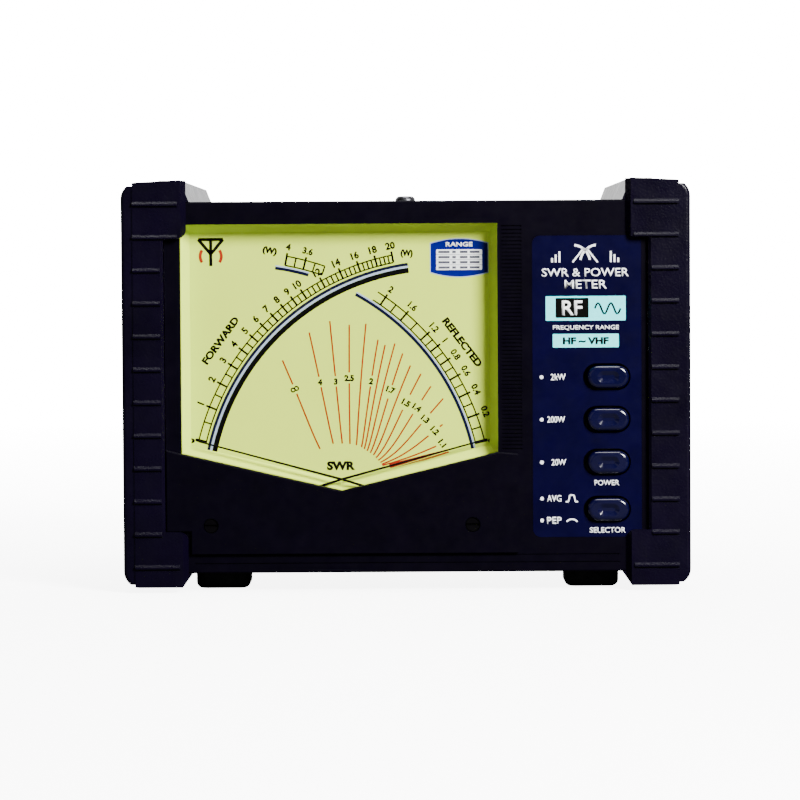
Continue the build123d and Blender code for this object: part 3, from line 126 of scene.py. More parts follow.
# ================================================================ materials
class Shader:
    """A node material built step by step round one Principled shader."""

    def __init__(self, name):
        self.material = bpy.data.materials.new(name)
        self.material.use_nodes = True
        self.tree = self.material.node_tree
        self.principled = self.tree.nodes["Principled BSDF"]
        self.place = self.tree.nodes.new("ShaderNodeTexCoord").outputs["Object"]

    def node(self, kind, **settings):
        made = self.tree.nodes.new(kind)
        for key, value in settings.items():
            setattr(made, key, value)
        return made

    def link(self, source, target):
        self.tree.links.new(source, target)

    def stretched(self, scale):
        """Object coordinates in millimetres, stretched by a factor on each axis."""
        mapping = self.node("ShaderNodeMapping")
        mapping.inputs["Scale"].default_value = [factor / MM for factor in scale]
        self.link(self.place, mapping.inputs["Vector"])
        return mapping.outputs["Vector"]

    def noise(self, size, detail=3.0, roughness=0.6, stretch=(1, 1, 1)):
        """Noise whose features are about size millimetres across."""
        made = self.node("ShaderNodeTexNoise")
        made.inputs["Scale"].default_value = 1.0
        made.inputs["Detail"].default_value = detail
        made.inputs["Roughness"].default_value = roughness
        self.link(self.stretched([factor / size for factor in stretch]), made.inputs["Vector"])
        return made.outputs["Fac"]

    def cells(self, size, feature="F1"):
        """Rounded cells about size millimetres across."""
        made = self.node("ShaderNodeTexVoronoi", feature=feature)
        made.inputs["Scale"].default_value = 1.0
        self.link(self.stretched([1.0 / size] * 3), made.inputs["Vector"])
        return made.outputs["Distance"]

    def ramp(self, value, low, high, start=0.3, end=0.7):
        """Maps a value from start..end to low..high."""
        made = self.node("ShaderNodeMapRange")
        made.inputs["From Min"].default_value = start
        made.inputs["From Max"].default_value = end
        made.inputs["To Min"].default_value = low
        made.inputs["To Max"].default_value = high
        self.link(value, made.inputs["Value"])
        return made.outputs["Result"]

    def tones(self, value, first, second, start=0.3, end=0.7):
        """A colour that runs from first to second with a value."""
        made = self.node("ShaderNodeValToRGB")
        made.color_ramp.elements[0].position = start
        made.color_ramp.elements[0].color = (*first, 1)
        made.color_ramp.elements[1].position = end
        made.color_ramp.elements[1].color = (*second, 1)
        self.link(value, made.inputs["Fac"])
        return made.outputs["Color"]

    def mixed(self, factor, first, second):
        made = self.node("ShaderNodeMix", data_type="RGBA")
        self.link(factor, made.inputs["Factor"])
        self.link(first, made.inputs[6])
        self.link(second, made.inputs[7])
        return made.outputs[2]

    def combine(self, operation, first, second):
        made = self.node("ShaderNodeMath", operation=operation)
        for value, socket in ((first, made.inputs[0]), (second, made.inputs[1])):
            if isinstance(value, (int, float)):
                socket.default_value = value
            else:
                self.link(value, socket)
        return made.outputs[0]

    def bump(self, height, depth, strength=1.0):
        """Surface relief, depth in millimetres."""
        made = self.node("ShaderNodeBump")
        made.inputs["Strength"].default_value = strength
        made.inputs["Distance"].default_value = depth * MM
        self.link(height, made.inputs["Height"])
        self.link(made.outputs["Normal"], self.principled.inputs["Normal"])

    def colour(self, source):
        self.link(source, self.principled.inputs["Base Color"])

    def rough(self, source):
        self.link(source, self.principled.inputs["Roughness"])

    def fixed(self, **values):
        for key, value in values.items():
            self.principled.inputs[key.replace("_", " ")].default_value = value
        return self.material


def scaled(colour, factor):
    return tuple(channel * factor for channel in colour)


def pebbled_plastic(name, colour, grain, depth, roughness=(0.38, 0.5), specular=0.5):
    """Moulded plastic with a leather-like pebble grain, scuffed a little."""
    shader = Shader(name)
    pebbles = shader.cells(grain, "SMOOTH_F1")
    fine = shader.noise(grain * 0.5, 4.0)
    relief = shader.combine("ADD", pebbles, shader.combine("MULTIPLY", fine, 0.5))
    shader.bump(relief, depth)
    tone = shader.tones(shader.noise(14.0, 4.0), scaled(colour, 0.75), scaled(colour, 1.3))
    scuffs = shader.ramp(shader.noise(2.2, 6.0, 0.75, (1, 1, 3)), 0.0, 1.0, 0.66, 0.8)
    pale = shader.tones(scuffs, scaled(colour, 2.0), scaled(colour, 3.2))
    shader.colour(shader.mixed(shader.combine("MULTIPLY", scuffs, 0.35), tone, pale))
    shader.rough(shader.ramp(shader.noise(6.0, 4.0), *roughness))
    return shader.fixed(Specular_IOR_Level=specular)


def satin_plastic(name, colour, roughness=(0.35, 0.5), grain=0.35, depth=0.01, specular=0.5):
    """Fine-grained moulded plastic."""
    shader = Shader(name)
    shader.bump(shader.noise(grain, 5.0), depth)
    shader.colour(shader.tones(shader.noise(9.0, 4.0), scaled(colour, 0.8), scaled(colour, 1.25)))
    shader.rough(shader.ramp(shader.noise(3.0, 5.0), *roughness))
    return shader.fixed(Specular_IOR_Level=specular)


def glossy_plastic(name, colour, roughness=(0.15, 0.2)):
    """Polished plastic with faint moulding swirls and finger marks."""
    shader = Shader(name)
    shader.bump(shader.noise(2.5, 2.0), 0.004)
    shader.colour(shader.tones(shader.noise(5.0, 3.0), scaled(colour, 0.85), scaled(colour, 1.2)))
    shader.rough(shader.ramp(shader.noise(1.6, 5.0, 0.7), *roughness))
    return shader.fixed(Specular_IOR_Level=0.3, Coat_Weight=0.6, Coat_Roughness=0.1)


def metal(name, colour, roughness=(0.2, 0.35), brush=(1, 1, 1), grain=0.6, depth=0.004):
    """Bare metal with brushing along one axis and slight tarnish."""
    shader = Shader(name)
    strokes = shader.noise(grain, 6.0, 0.7, brush)
    shader.bump(strokes, depth)
    tarnish = shader.noise(4.0, 5.0)
    shader.colour(shader.tones(tarnish, scaled(colour, 0.82), scaled(colour, 1.08)))
    shader.rough(shader.ramp(strokes, *roughness))
    return shader.fixed(Metallic=1.0)


def textured_paint(name, colour):
    """Fine textured enamel over sheet metal."""
    shader = Shader(name)
    orange_peel = shader.combine("ADD", shader.cells(0.45, "SMOOTH_F1"), shader.noise(0.25, 3.0))
    shader.bump(orange_peel, 0.03)
    shader.colour(shader.tones(shader.noise(18.0, 5.0), scaled(colour, 0.8), scaled(colour, 1.25)))
    shader.rough(shader.ramp(shader.noise(5.0, 5.0), 0.42, 0.58))
    return shader.fixed(Specular_IOR_Level=0.15)


def rubber(name, colour):
    """Dull moulded rubber with dust in its grain."""
    shader = Shader(name)
    shader.bump(shader.noise(0.3, 5.0), 0.03)
    dust = shader.ramp(shader.noise(1.5, 6.0, 0.75), 0.0, 1.0, 0.55, 0.8)
    shader.colour(shader.tones(dust, colour, scaled(colour, 2.2), 0.0, 1.0))
    shader.rough(shader.ramp(shader.noise(2.0, 4.0), 0.6, 0.8))
    return shader.fixed(Specular_IOR_Level=0.3)


def printed_dial(name, colour, glow):
    """Matt dial paint over a translucent plate that the lamps light a little from behind."""
    shader = Shader(name)
    tone = shader.tones(shader.noise(30.0, 2.0), scaled(colour, 0.97), scaled(colour, 1.02))
    shader.colour(tone)
    shader.link(tone, shader.principled.inputs["Emission Color"])
    shader.bump(shader.noise(0.2, 4.0), 0.004)
    shader.rough(shader.ramp(shader.noise(4.0, 3.0), 0.55, 0.65))
    return shader.fixed(Specular_IOR_Level=0.05, Emission_Strength=glow)


def ink(name, colour, roughness=(0.4, 0.55)):
    """Screen-printed ink, slightly uneven in density."""
    shader = Shader(name)
    shader.bump(shader.noise(0.12, 4.0), 0.004)
    shader.colour(shader.tones(shader.noise(0.8, 5.0, 0.7), scaled(colour, 0.9), scaled(colour, 1.06)))
    shader.rough(shader.ramp(shader.noise(0.6, 4.0), *roughness))
    return shader.fixed(Specular_IOR_Level=0.02)


def clear_window(name):
    """Clear acrylic, thin enough to be shown as a faint film with its gloss."""
    shader = Shader(name)
    shader.bump(shader.noise(25.0, 1.0), 0.01)
    shader.colour(shader.tones(shader.noise(40.0, 2.0), (0.002, 0.002, 0.002), (0.004, 0.004, 0.004)))
    shader.rough(shader.ramp(shader.noise(6.0, 5.0), 0.03, 0.08))
    return shader.fixed(Alpha=0.03, Specular_IOR_Level=0.3)


def circuit_board(name):
    """Solder resist over laminate, with the weave and the copper tracks faintly raised."""
    shader = Shader(name)
    tracks = shader.ramp(shader.cells(5.0, "DISTANCE_TO_EDGE"), 1.0, 0.0, 0.05, 0.12)
    shader.colour(shader.tones(tracks, (0.01, 0.12, 0.04), (0.02, 0.22, 0.07), 0.2, 0.8))
    shader.bump(shader.combine("ADD", tracks, shader.noise(0.4, 3.0)), 0.02)
    shader.rough(shader.ramp(shader.noise(3.0, 4.0), 0.25, 0.4))
    return shader.fixed()


def paint_nodes(material, *names):
    for name in names:
        mesh = nodes[name].data
        mesh.materials.clear()
        mesh.materials.append(material)


GUARD_BLACK = (0.0016, 0.0007, 0.0048)
BEZEL_BLACK = (0.0011, 0.0006, 0.0026)
LABEL_NAVY = (0.0010, 0.0003, 0.0125)
DIAL_GREEN = (0.60, 0.76, 0.07)

guard_material = pebbled_plastic("guard_plastic", GUARD_BLACK, 0.55, 0.05, (0.24, 0.34), specular=0.10)
bezel_material = satin_plastic("bezel_plastic", BEZEL_BLACK, specular=0.03)
label_material = satin_plastic("label_film", LABEL_NAVY, (0.3, 0.42), 0.25, 0.006, 0.04)
paint_nodes(guard_material, "left_cheek_guard", "right_cheek_guard")
paint_nodes(bezel_material, "front_bezel", "chin_cover")
paint_nodes(label_material, "label_plate")
paint_nodes(clear_window("clear_acrylic"), "meter_window")
paint_nodes(printed_dial("dial_border", scaled(DIAL_GREEN, 1.1), 0.05), "dial_surround")
paint_nodes(printed_dial("dial_print", DIAL_GREEN, 0.1), "dial_plate")
paint_nodes(satin_plastic("case_plastic", (0.03, 0.03, 0.033)), "meter_case")
paint_nodes(
    textured_paint("cover_paint", (0.0060, 0.0056, 0.0085)), "top_cover", "bottom_chassis", "rear_panel"
)
paint_nodes(
    metal("blackened_steel", (0.06, 0.06, 0.065), (0.3, 0.45)), "case_screws", "cheek_screws", "foot_screws"
)
paint_nodes(rubber("foot_rubber", (0.006, 0.006, 0.006)), "rubber_feet")
paint_nodes(
    metal("nickel_plate", (0.72, 0.70, 0.64), (0.14, 0.3), (1, 4, 1)),
    "tx_socket", "ant_socket", "socket_screws", "dc_jack_nut",
)
paint_nodes(metal("turned_brass", (0.82, 0.62, 0.28), (0.18, 0.3), (1, 5, 1)), "socket_contacts", "line_rod")
paint_nodes(satin_plastic("white_insulator", (0.75, 0.73, 0.68)), "socket_insulators")
paint_nodes(satin_plastic("jack_plastic", (0.012, 0.012, 0.012)), "dc_jack")
paint_nodes(
    glossy_plastic("button_gloss", (0.0005, 0.0002, 0.0140)),
    "high_range_button", "mid_range_button", "low_range_button", "selector_button",
)
paint_nodes(
    metal("bright_steel", (0.55, 0.55, 0.56), (0.25, 0.4), (1, 3, 1)),
    "forward_yoke", "reflected_yoke", "forward_magnet", "reflected_magnet",
    "high_range_spring", "mid_range_spring", "low_range_spring", "selector_spring",
)
paint_nodes(
    metal("bridge_alloy", (0.75, 0.75, 0.77), (0.3, 0.45), (5, 1, 1)),
    "forward_bridge", "reflected_bridge", "forward_zero_arm", "reflected_zero_arm",
)
paint_nodes(metal("hairspring_bronze", (0.75, 0.5, 0.28)), "forward_hairspring", "reflected_hairspring")
paint_nodes(
    metal("copper_winding", (0.72, 0.32, 0.16), (0.25, 0.4), (1, 8, 1), 0.25, 0.02),
    "forward_coil", "reflected_coil",
)
paint_nodes(
    satin_plastic("needle_paint", (0.002, 0.002, 0.002), specular=0.03), "forward_needle", "reflected_needle"
)
paint_nodes(
    satin_plastic("adjuster_plastic", (0.0010, 0.0008, 0.0012), specular=0.03),
    "forward_zero_screw", "reflected_zero_screw",
)
paint_nodes(satin_plastic("switch_plastic", (0.05, 0.05, 0.055)), "range_switch_bank", "selector_switch")
paint_nodes(circuit_board("solder_resist"), "main_pcb", "coupler_board")
paint_nodes(metal("standoff_brass", (0.75, 0.62, 0.35), (0.25, 0.4)), "pcb_standoffs")
paint_nodes(satin_plastic("trimmer_blue", (0.02, 0.06, 0.28)), "calibration_trimmers")
paint_nodes(
    metal("tinplate", (0.62, 0.62, 0.62), (0.2, 0.4), (6, 1, 1), 0.8), "coupler_box", "coupler_lid"
)
paint_nodes(satin_plastic("ferrite", (0.03, 0.03, 0.032), (0.5, 0.7)), "coupler_toroids")
paint_nodes(printed_dial("lamp_glow", (1.0, 0.82, 0.5), 1.5), "dial_lamps")
paint_nodes(satin_plastic("lead_red", (0.35, 0.02, 0.02), (0.35, 0.5)), "signal_leads", "power_lead")

INK_BLACK = ink("ink_black", (0.002, 0.002, 0.0016))
INK_NAVY = ink("ink_navy", (0.005, 0.006, 0.022))
INK_BLUE = ink("ink_blue", (0.003, 0.004, 0.13))
INK_PALE = ink("ink_pale", (0.34, 0.42, 0.60))
INK_WHITE = ink("ink_white", (0.90, 0.91, 0.92))
INK_RED = ink("ink_red", (0.30, 0.022, 0.008))
INK_CYAN = ink("ink_cyan", (0.12, 0.86, 0.88))


# ================================================================ printed marks
class Print:
    """Thin marks of one ink on a flat face, gathered into one mesh of closed prisms."""

    def __init__(self, face_y, thickness=0.04):
        self.mesh = bmesh.new()
        self.front = face_y - thickness
        self.back = face_y + 0.01

    def prism(self, points):
        """A closed outline of (x, z) points, in millimetres."""
        front = [self.mesh.verts.new((x * MM, self.front * MM, z * MM)) for x, z in points]
        back = [self.mesh.verts.new((x * MM, self.back * MM, z * MM)) for x, z in points]
        self.mesh.faces.new(front)
        self.mesh.faces.new(back[::-1])
        for index in range(len(points)):
            following = (index + 1) % len(points)
            self.mesh.faces.new((front[index], back[index], back[following], front[following]))

    def ribbon(self, one_side, other_side):
        """A closed strip between two rows of points, faced with quads."""
        rows = [
            [self.mesh.verts.new((x * MM, y * MM, z * MM)) for x, z in side]
            for side in (one_side, other_side) for y in (self.front, self.back)
        ]
        near_front, near_back, far_front, far_back = rows
        for first, second in (
            (near_front, far_front), (far_back, near_back), (near_back, near_front), (far_front, far_back),
        ):
            for index in range(len(first) - 1):
                self.mesh.faces.new((first[index], first[index + 1], second[index + 1], second[index]))
        for end in (0, -1):
            self.mesh.faces.new((near_front[end], far_front[end], far_back[end], near_back[end]))

    def band(self, centre, inner, outer, start, end, step=1.5):
        """Part of a ring; angles in degrees anticlockwise from +X."""
        count = max(3, int(abs(end - start) / step) + 2)
        angles = [radians(start + (end - start) * index / (count - 1)) for index in range(count)]
        rows = [
            [(centre[0] + radius * cos(angle), centre[1] + radius * sin(angle)) for angle in angles]
            for radius in (inner, outer)
        ]
        self.ribbon(*rows)

    def bar(self, start, end, width):
        """A straight stroke."""
        dx, dz = end[0] - start[0], end[1] - start[1]
        length = hypot(dx, dz)
        across = (-dz / length * width / 2, dx / length * width / 2)
        self.prism([
            (start[0] + across[0], start[1] + across[1]),
            (end[0] + across[0], end[1] + across[1]),
            (end[0] - across[0], end[1] - across[1]),
            (start[0] - across[0], start[1] - across[1]),
        ])

    def path(self, points, width):
        """A stroke along several points."""
        for start, end in zip(points, points[1:]):
            self.bar(start, end, width)

    def rounded(self, x0, z0, x1, z1, radius):
        """A filled rectangle with round corners."""
        points = []
        for centre_x, centre_z, start in (
            (x1 - radius, z1 - radius, 0), (x0 + radius, z1 - radius, 90),
            (x0 + radius, z0 + radius, 180), (x1 - radius, z0 + radius, 270),
        ):
            for step in range(5):
                angle = radians(start + step * 22.5)
                points.append((centre_x + radius * cos(angle), centre_z + radius * sin(angle)))
        self.prism(points)

    def disc(self, x, z, radius, sides=24):
        self.prism([
            (x + radius * cos(2 * pi * index / sides), z + radius * sin(2 * pi * index / sides))
            for index in range(sides)
        ])

    def words(self, text, x, z, height, turn=0.0, width=None, weight=0.02):
        """Text centred on a point: capital height and optional overall width in millimetres."""
        curve = bpy.data.curves.new("words", "FONT")
        curve.body = text
        curve.size = 1.0
        curve.offset = weight
        curve.align_x = "CENTER"
        curve.resolution_u = 3
        holder = bpy.data.objects.new("words", curve)
        bpy.context.scene.collection.objects.link(holder)
        bpy.context.view_layer.update()
        flat = bpy.data.meshes.new_from_object(holder.evaluated_get(bpy.context.evaluated_depsgraph_get()))
        bpy.data.objects.remove(holder)
        xs = [vertex.co.x for vertex in flat.vertices]
        ys = [vertex.co.y for vertex in flat.vertices]
        tall = height / (max(ys) - min(ys))
        wide = tall if width is None else width / (max(xs) - min(xs))
        middle = Vector(((max(xs) + min(xs)) / 2, (max(ys) + min(ys)) / 2, 0))
        scale = Matrix.Diagonal((wide, tall, 1, 1))
        spin = Matrix.Rotation(radians(turn), 4, "Z")
        flat.transform(spin @ scale @ Matrix.Translation(-middle))
        letters = bmesh.new()
        letters.from_mesh(flat)
        bmesh.ops.remove_doubles(letters, verts=letters.verts, dist=1e-4)
        side = bmesh.ops.extrude_face_region(letters, geom=letters.faces[:])
        raised = [item for item in side["geom"] if isinstance(item, bmesh.types.BMVert)]
        raised_set = set(raised)
        for vertex in letters.verts:
            depth = self.front if vertex in raised_set else self.back
            vertex.co = Vector(((vertex.co.x + x) * MM, depth * MM, (vertex.co.y + z) * MM))
        bmesh.ops.recalc_face_normals(letters, faces=letters.faces)
        done = bpy.data.meshes.new("words")
        letters.to_mesh(done)
        letters.free()
        self.mesh.from_mesh(done)
        bpy.data.meshes.remove(done)
        bpy.data.meshes.remove(flat)

    def finish(self, name, material, body=HOUSING):
        bmesh.ops.recalc_face_normals(self.mesh, faces=self.mesh.faces)
        made = bpy.data.meshes.new(name)
        self.mesh.to_mesh(made)
        self.mesh.free()
        made.materials.append(material)
        piece = bpy.data.objects.new(name, made)
        bpy.context.scene.collection.objects.link(piece)
        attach(piece, body)


# ================================================================ the dial
dial_low, dial_high = node_box("dial_plate")
dial_face = dial_low.y
forward_pivot = (joints["forward_needle_turn"]["pos_m"][0] / MM, joints["forward_needle_turn"]["pos_m"][2] / MM)
reflected_pivot = (
    joints["reflected_needle_turn"]["pos_m"][0] / MM, joints["reflected_needle_turn"]["pos_m"][2] / MM
)
meter_middle = (forward_pivot[0] + reflected_pivot[0]) / 2

FORWARD_SCALE = {"zero": 14.07, "span": 64.93, "bend": 0.19, "full": 20.0}
REFLECTED_SCALE = {"zero": 13.75, "span": 65.85, "bend": 0.33, "full": 4.0}


def scale_angle(scale, watts):
    """Needle angle above the horizontal at a power: a detector law between linear and square root."""
    bend = scale["bend"]
    reached = sqrt(watts / scale["full"] + bend ** 2) - bend
    return scale["zero"] + scale["span"] * reached / (sqrt(1 + bend ** 2) - bend)


def forward_at(radius, angle):
    """A point round the forward pivot, which the forward needle sweeps leftwards of."""
    return (
        forward_pivot[0] - radius * cos(radians(angle)),
        forward_pivot[1] + radius * sin(radians(angle)),
    )


def reflected_at(radius, angle):
    return (
        reflected_pivot[0] + radius * cos(radians(angle)),
        reflected_pivot[1] + radius * sin(radians(angle)),
    )


black = Print(dial_face)
pale = Print(dial_face)
blue = Print(dial_face)
red = Print(dial_face)

# forward arc: thick black band, pale band, navy line, then the two rails of the scale
FORWARD_ARC = (180 - 82.3, 180 - 12.1)
for print_ink, inner, outer in ((black, 63.0, 64.4), (pale, 64.43, 65.0), (blue, 65.03, 65.8)):
    print_ink.band(forward_pivot, inner, outer, *FORWARD_ARC)
RAIL = 0.38
MAJOR_TICK, MINOR_TICK = 0.55, 0.42
NUMERAL_WEIGHT, WORD_WEIGHT, TITLE_WEIGHT, LETTER_WEIGHT = 0.042, 0.05, 0.055, 0.065
ZERO_TICK = 0.85
ZERO_NUMERAL = (1.4, 0, 2.0, 0.06)  # height, turn, width and weight of the flat noughts
FORWARD_RAILS = (66.5, 68.6)
FORWARD_TICK_END = 69.6
FORWARD_NUMERALS = 71.2
for rail in FORWARD_RAILS:
    black.band(forward_pivot, rail - RAIL / 2, rail + RAIL / 2, 180 - 79.0, 180 - 14.07)

forward_majors = [*range(0, 11), 12, 14, 16, 18, 20]
for step in range(0, 41):
    watts = step / 2
    angle = scale_angle(FORWARD_SCALE, watts)
    major = watts in forward_majors
    reach = FORWARD_TICK_END if major else FORWARD_RAILS[1]
    width = MAJOR_TICK if major else MINOR_TICK
    black.bar(forward_at(FORWARD_RAILS[0], angle), forward_at(reach, angle), width)
for watts in forward_majors[1:]:
    angle = scale_angle(FORWARD_SCALE, watts)
    x, z = forward_at(FORWARD_NUMERALS, angle)
    black.words(str(watts), x, z, 2.05, 90 - angle, weight=NUMERAL_WEIGHT)
black.bar(forward_at(66.3, 14.07), forward_at(69.4, 14.07), ZERO_TICK)
black.words("0", *forward_at(70.6, 13.6), *ZERO_NUMERAL)
black.words("FORWARD", *forward_at(74.8, 36.2), 2.15, 53.8, 15.3, WORD_WEIGHT)

# reflected arc and scale: it stops under the forward arc and goes on above it
REFLECTED_STRETCHES = ((11.6, 61.2), (73.6, 81.9))
for start, end in REFLECTED_STRETCHES:
    blue.band(reflected_pivot, 64.2, 65.0, start, end)
    pale.band(reflected_pivot, 65.03, 65.42, start, end)
REFLECTED_RAILS = (65.75, 68.3)
REFLECTED_TICK_END = 69.2
REFLECTED_NUMERALS = 70.9
for start, end in ((13.75, scale_angle(REFLECTED_SCALE, 2.15)), (scale_angle(REFLECTED_SCALE, 3.2), 79.6)):
    for rail in REFLECTED_RAILS:
        black.band(reflected_pivot, rail - RAIL / 2, rail + RAIL / 2, start, end)
reflected_majors = [0, 0.2, 0.4, 0.6, 0.8, 1, 1.2, 1.6, 2, 3.6, 4]
reflected_minors = [0.1, 0.3, 0.5, 0.7, 0.9, 1.1, 1.4, 1.8, 3.2, 3.4, 3.8]
for watts in reflected_majors + reflected_minors:
    angle = scale_angle(REFLECTED_SCALE, watts)
    major = watts in reflected_majors
    reach = REFLECTED_TICK_END if major else REFLECTED_RAILS[1]
    width = MAJOR_TICK if major else MINOR_TICK
    black.bar(reflected_at(REFLECTED_RAILS[0], angle), reflected_at(reach, angle), width)
for watts in reflected_majors[1:]:
    angle = scale_angle(REFLECTED_SCALE, watts)
    x, z = reflected_at(REFLECTED_NUMERALS, angle)
    black.words(f"{watts:g}", x, z, 1.9, angle - 90, weight=NUMERAL_WEIGHT)
black.bar(reflected_at(65.6, 13.75), reflected_at(69.0, 13.75), ZERO_TICK)
black.words("0", *reflected_at(70.2, 13.3), *ZERO_NUMERAL)
black.words("REFLECTED", *reflected_at(74.3, 35.6), 2.15, -53.0, 16.1, WORD_WEIGHT)

# standing-wave-ratio fan: where the two needles cross for one ratio at every power
FAN_FOOT = (meter_middle, 27.3)
FAN_FOOT_RADIUS = 12.8
FAN_FORWARD_LIMIT = 58.9
FAN_REFLECTED_LIMIT, FAN_LIMIT_STEP = 59.2, 0.3


def crossing(ratio, watts):
    """Where the needles cross at a forward power and a standing-wave ratio."""
    share = ((ratio - 1) / (ratio + 1)) ** 2
    left = radians(scale_angle(FORWARD_SCALE, watts))
    right = radians(scale_angle(REFLECTED_SCALE, watts * share))
    base = forward_pivot[0] - reflected_pivot[0]
    reach = base * sin(left) / sin(left + right)
    return (reflected_pivot[0] + reach * cos(right), reflected_pivot[1] + reach * sin(right))


def fan_clear(point, reflected_limit):
    """True between the fan's round foot and the two arcs."""
    from_foot = hypot(point[0] - FAN_FOOT[0], point[1] - FAN_FOOT[1])
    from_forward = hypot(point[0] - forward_pivot[0], point[1] - forward_pivot[1])
    from_reflected = hypot(point[0] - reflected_pivot[0], point[1] - reflected_pivot[1])
    return (
        from_foot > FAN_FOOT_RADIUS and from_forward < FAN_FORWARD_LIMIT and from_reflected < reflected_limit
    )


FAN_LINE = 0.42
FAN_LABEL_RADIUS = 30.4
FAN_LABEL_GAP = 1.9
# each line is drawn through forward powers that rise by a constant factor
FAN_FIRST, FAN_STEP, FAN_STEPS = 0.05, 1.05, 130
# the line marked as endless runs where this ratio would
NO_LOAD = 10.5
LOOP_OFFSET, LOOP_INNER, LOOP_OUTER = 0.52, 0.34, 0.72
fan = [
    (NO_LOAD, "∞"), (4, "4"), (3, "3"), (2.5, "2.5"), (2.2, None), (2, "2"), (1.9, None), (1.8, None),
    (1.7, "1.7"), (1.6, None), (1.5, "1.5"), (1.4, "1.4"), (1.3, "1.3"), (1.2, "1.2"), (1.1, "1.1"),
]
for place, (ratio, label) in enumerate(fan):
    reflected_limit = FAN_REFLECTED_LIMIT + FAN_LIMIT_STEP * max(0, place - 3)
    locus = [crossing(ratio, FAN_FIRST * FAN_STEP ** step) for step in range(FAN_STEPS)]
    locus = dropwhile(lambda point: not fan_clear(point, reflected_limit), locus)
    locus = list(takewhile(lambda point: fan_clear(point, reflected_limit), locus))
    label_spot = min(
        locus, key=lambda point: abs(hypot(point[0] - FAN_FOOT[0], point[1] - FAN_FOOT[1]) - FAN_LABEL_RADIUS)
    )
    for start, end in zip(locus, locus[1:]):
        middle = ((start[0] + end[0]) / 2, (start[1] + end[1]) / 2)
        if label and hypot(middle[0] - label_spot[0], middle[1] - label_spot[1]) < FAN_LABEL_GAP:
            continue
        red.bar(start, end, FAN_LINE)
    lean = degrees(atan2(label_spot[0] - FAN_FOOT[0], label_spot[1] - FAN_FOOT[1]))
    if label == "∞":
        tilt = radians(-lean)
        for offset in (-LOOP_OFFSET, LOOP_OFFSET):
            loop = (label_spot[0] + offset * cos(tilt), label_spot[1] + offset * sin(tilt))
            black.band(loop, LOOP_INNER, LOOP_OUTER, 0, 360, 30)
    elif label:
        black.words(label, *label_spot, 1.75, 0 if lean < 15 else -lean * 0.8, weight=TITLE_WEIGHT)
# the wedge where the lowest ratios run together, against the reflected needle's rest line
WEDGE_START, WEDGE_END = 41.3, 59.0
red.prism([
    reflected_at(WEDGE_START, 13.9), reflected_at(WEDGE_START, 12.2),
    reflected_at(WEDGE_END, 13.5), reflected_at(WEDGE_END, 13.9),
])
for low_angle, high_angle in ((11.75, 13.175), (11.3, 12.95)):
    red.bar(reflected_at(41.6, low_angle), reflected_at(58.0, high_angle), 0.22)
black.words("SWR", meter_middle - 0.3, 34.1, 2.5, 0, 7.8, TITLE_WEIGHT)
black.words("(W)", 0.3, 92.3, 2.3, -3, 3.4, LETTER_WEIGHT)
black.words("(W)", -37.3, 93.2, 2.3, -12, 4.0, LETTER_WEIGHT)

# a plain antenna symbol in a frame, at the dial's upper left
symbol_x, symbol_z = dial_low.x + 9.0, dial_high.z - 8.4
black.path([(symbol_x - 3.4, symbol_z + 3.4), (symbol_x, symbol_z - 0.6), (symbol_x + 3.4, symbol_z + 3.4),
            (symbol_x - 3.4, symbol_z + 3.4)], 0.85)
black.bar((symbol_x, symbol_z + 3.5), (symbol_x, symbol_z - 3.9), 0.85)
red.band((symbol_x, symbol_z - 1.2), 2.5, 3.3, -35, 35)
red.band((symbol_x, symbol_z - 1.2), 2.5, 3.3, 145, 215)

# a plain range table at the upper right: blue barrel-shaped frame, white field, rows of bars
table_x, table_z = 14.7, 91.1
TABLE_HALF_WIDTH, TABLE_HALF_HEIGHT, TABLE_CROWN = 7.8, 3.9, 1.25
FIELD_HALF_WIDTH = 6.3
ROW_PITCH = 1.42


def barrel(grow):
    """Outline of the table's frame, with crowned top and bottom."""
    half = TABLE_HALF_WIDTH + grow
    steps = 12
    top = []
    for step in range(steps + 1):
        across = 1 - 2 * step / steps
        rise = TABLE_HALF_HEIGHT + grow + TABLE_CROWN * (1 - across ** 2)
        top.append((table_x + half * across, table_z + rise))
    return top + [(2 * table_x - x, 2 * table_z - z) for x, z in top]


pale.prism(barrel(0.25))
table_blue = Print(dial_face - 0.04)
table_blue.prism(barrel(0.0))
table_blue.finish("range_table_frame", INK_BLUE)
table_field = Print(dial_face - 0.08)
table_field.rounded(
    table_x - FIELD_HALF_WIDTH, table_z - 3.4, table_x + FIELD_HALF_WIDTH, table_z + 2.3, 0.3
)
table_field.words("RANGE", table_x, table_z + 3.7, 1.25, 0, 7.4, 0.03)
table_field.finish("range_table_field", INK_WHITE)
table_rows = Print(dial_face - 0.12)
for row in range(4):
    row_z = table_z + 1.6 - row * ROW_PITCH
    rule_z = row_z - ROW_PITCH / 2
    for first, last in ((-5.7, -2.6), (-1.9, -0.9), (0.2, 2.3), (2.9, 5.6)):
        table_rows.bar((table_x + first, row_z), (table_x + last, row_z), 0.62)
    table_rows.bar((table_x - FIELD_HALF_WIDTH, rule_z), (table_x + FIELD_HALF_WIDTH, rule_z), 0.1)
table_rows.finish("range_table_rows", ink("ink_grey", (0.08, 0.08, 0.10)))

black.finish("dial_black_print", INK_BLACK)
pale.finish("dial_white_print", INK_PALE)
blue.finish("dial_blue_print", INK_NAVY)
red.finish("dial_red_print", INK_RED)

# ================================================================ the label plate
label_low, label_high = node_box("label_plate")
label_face = label_low.y
label_x = 48.9
label_white = Print(label_face)
label_cyan = Print(label_face)
label_black = Print(label_face - 0.04)

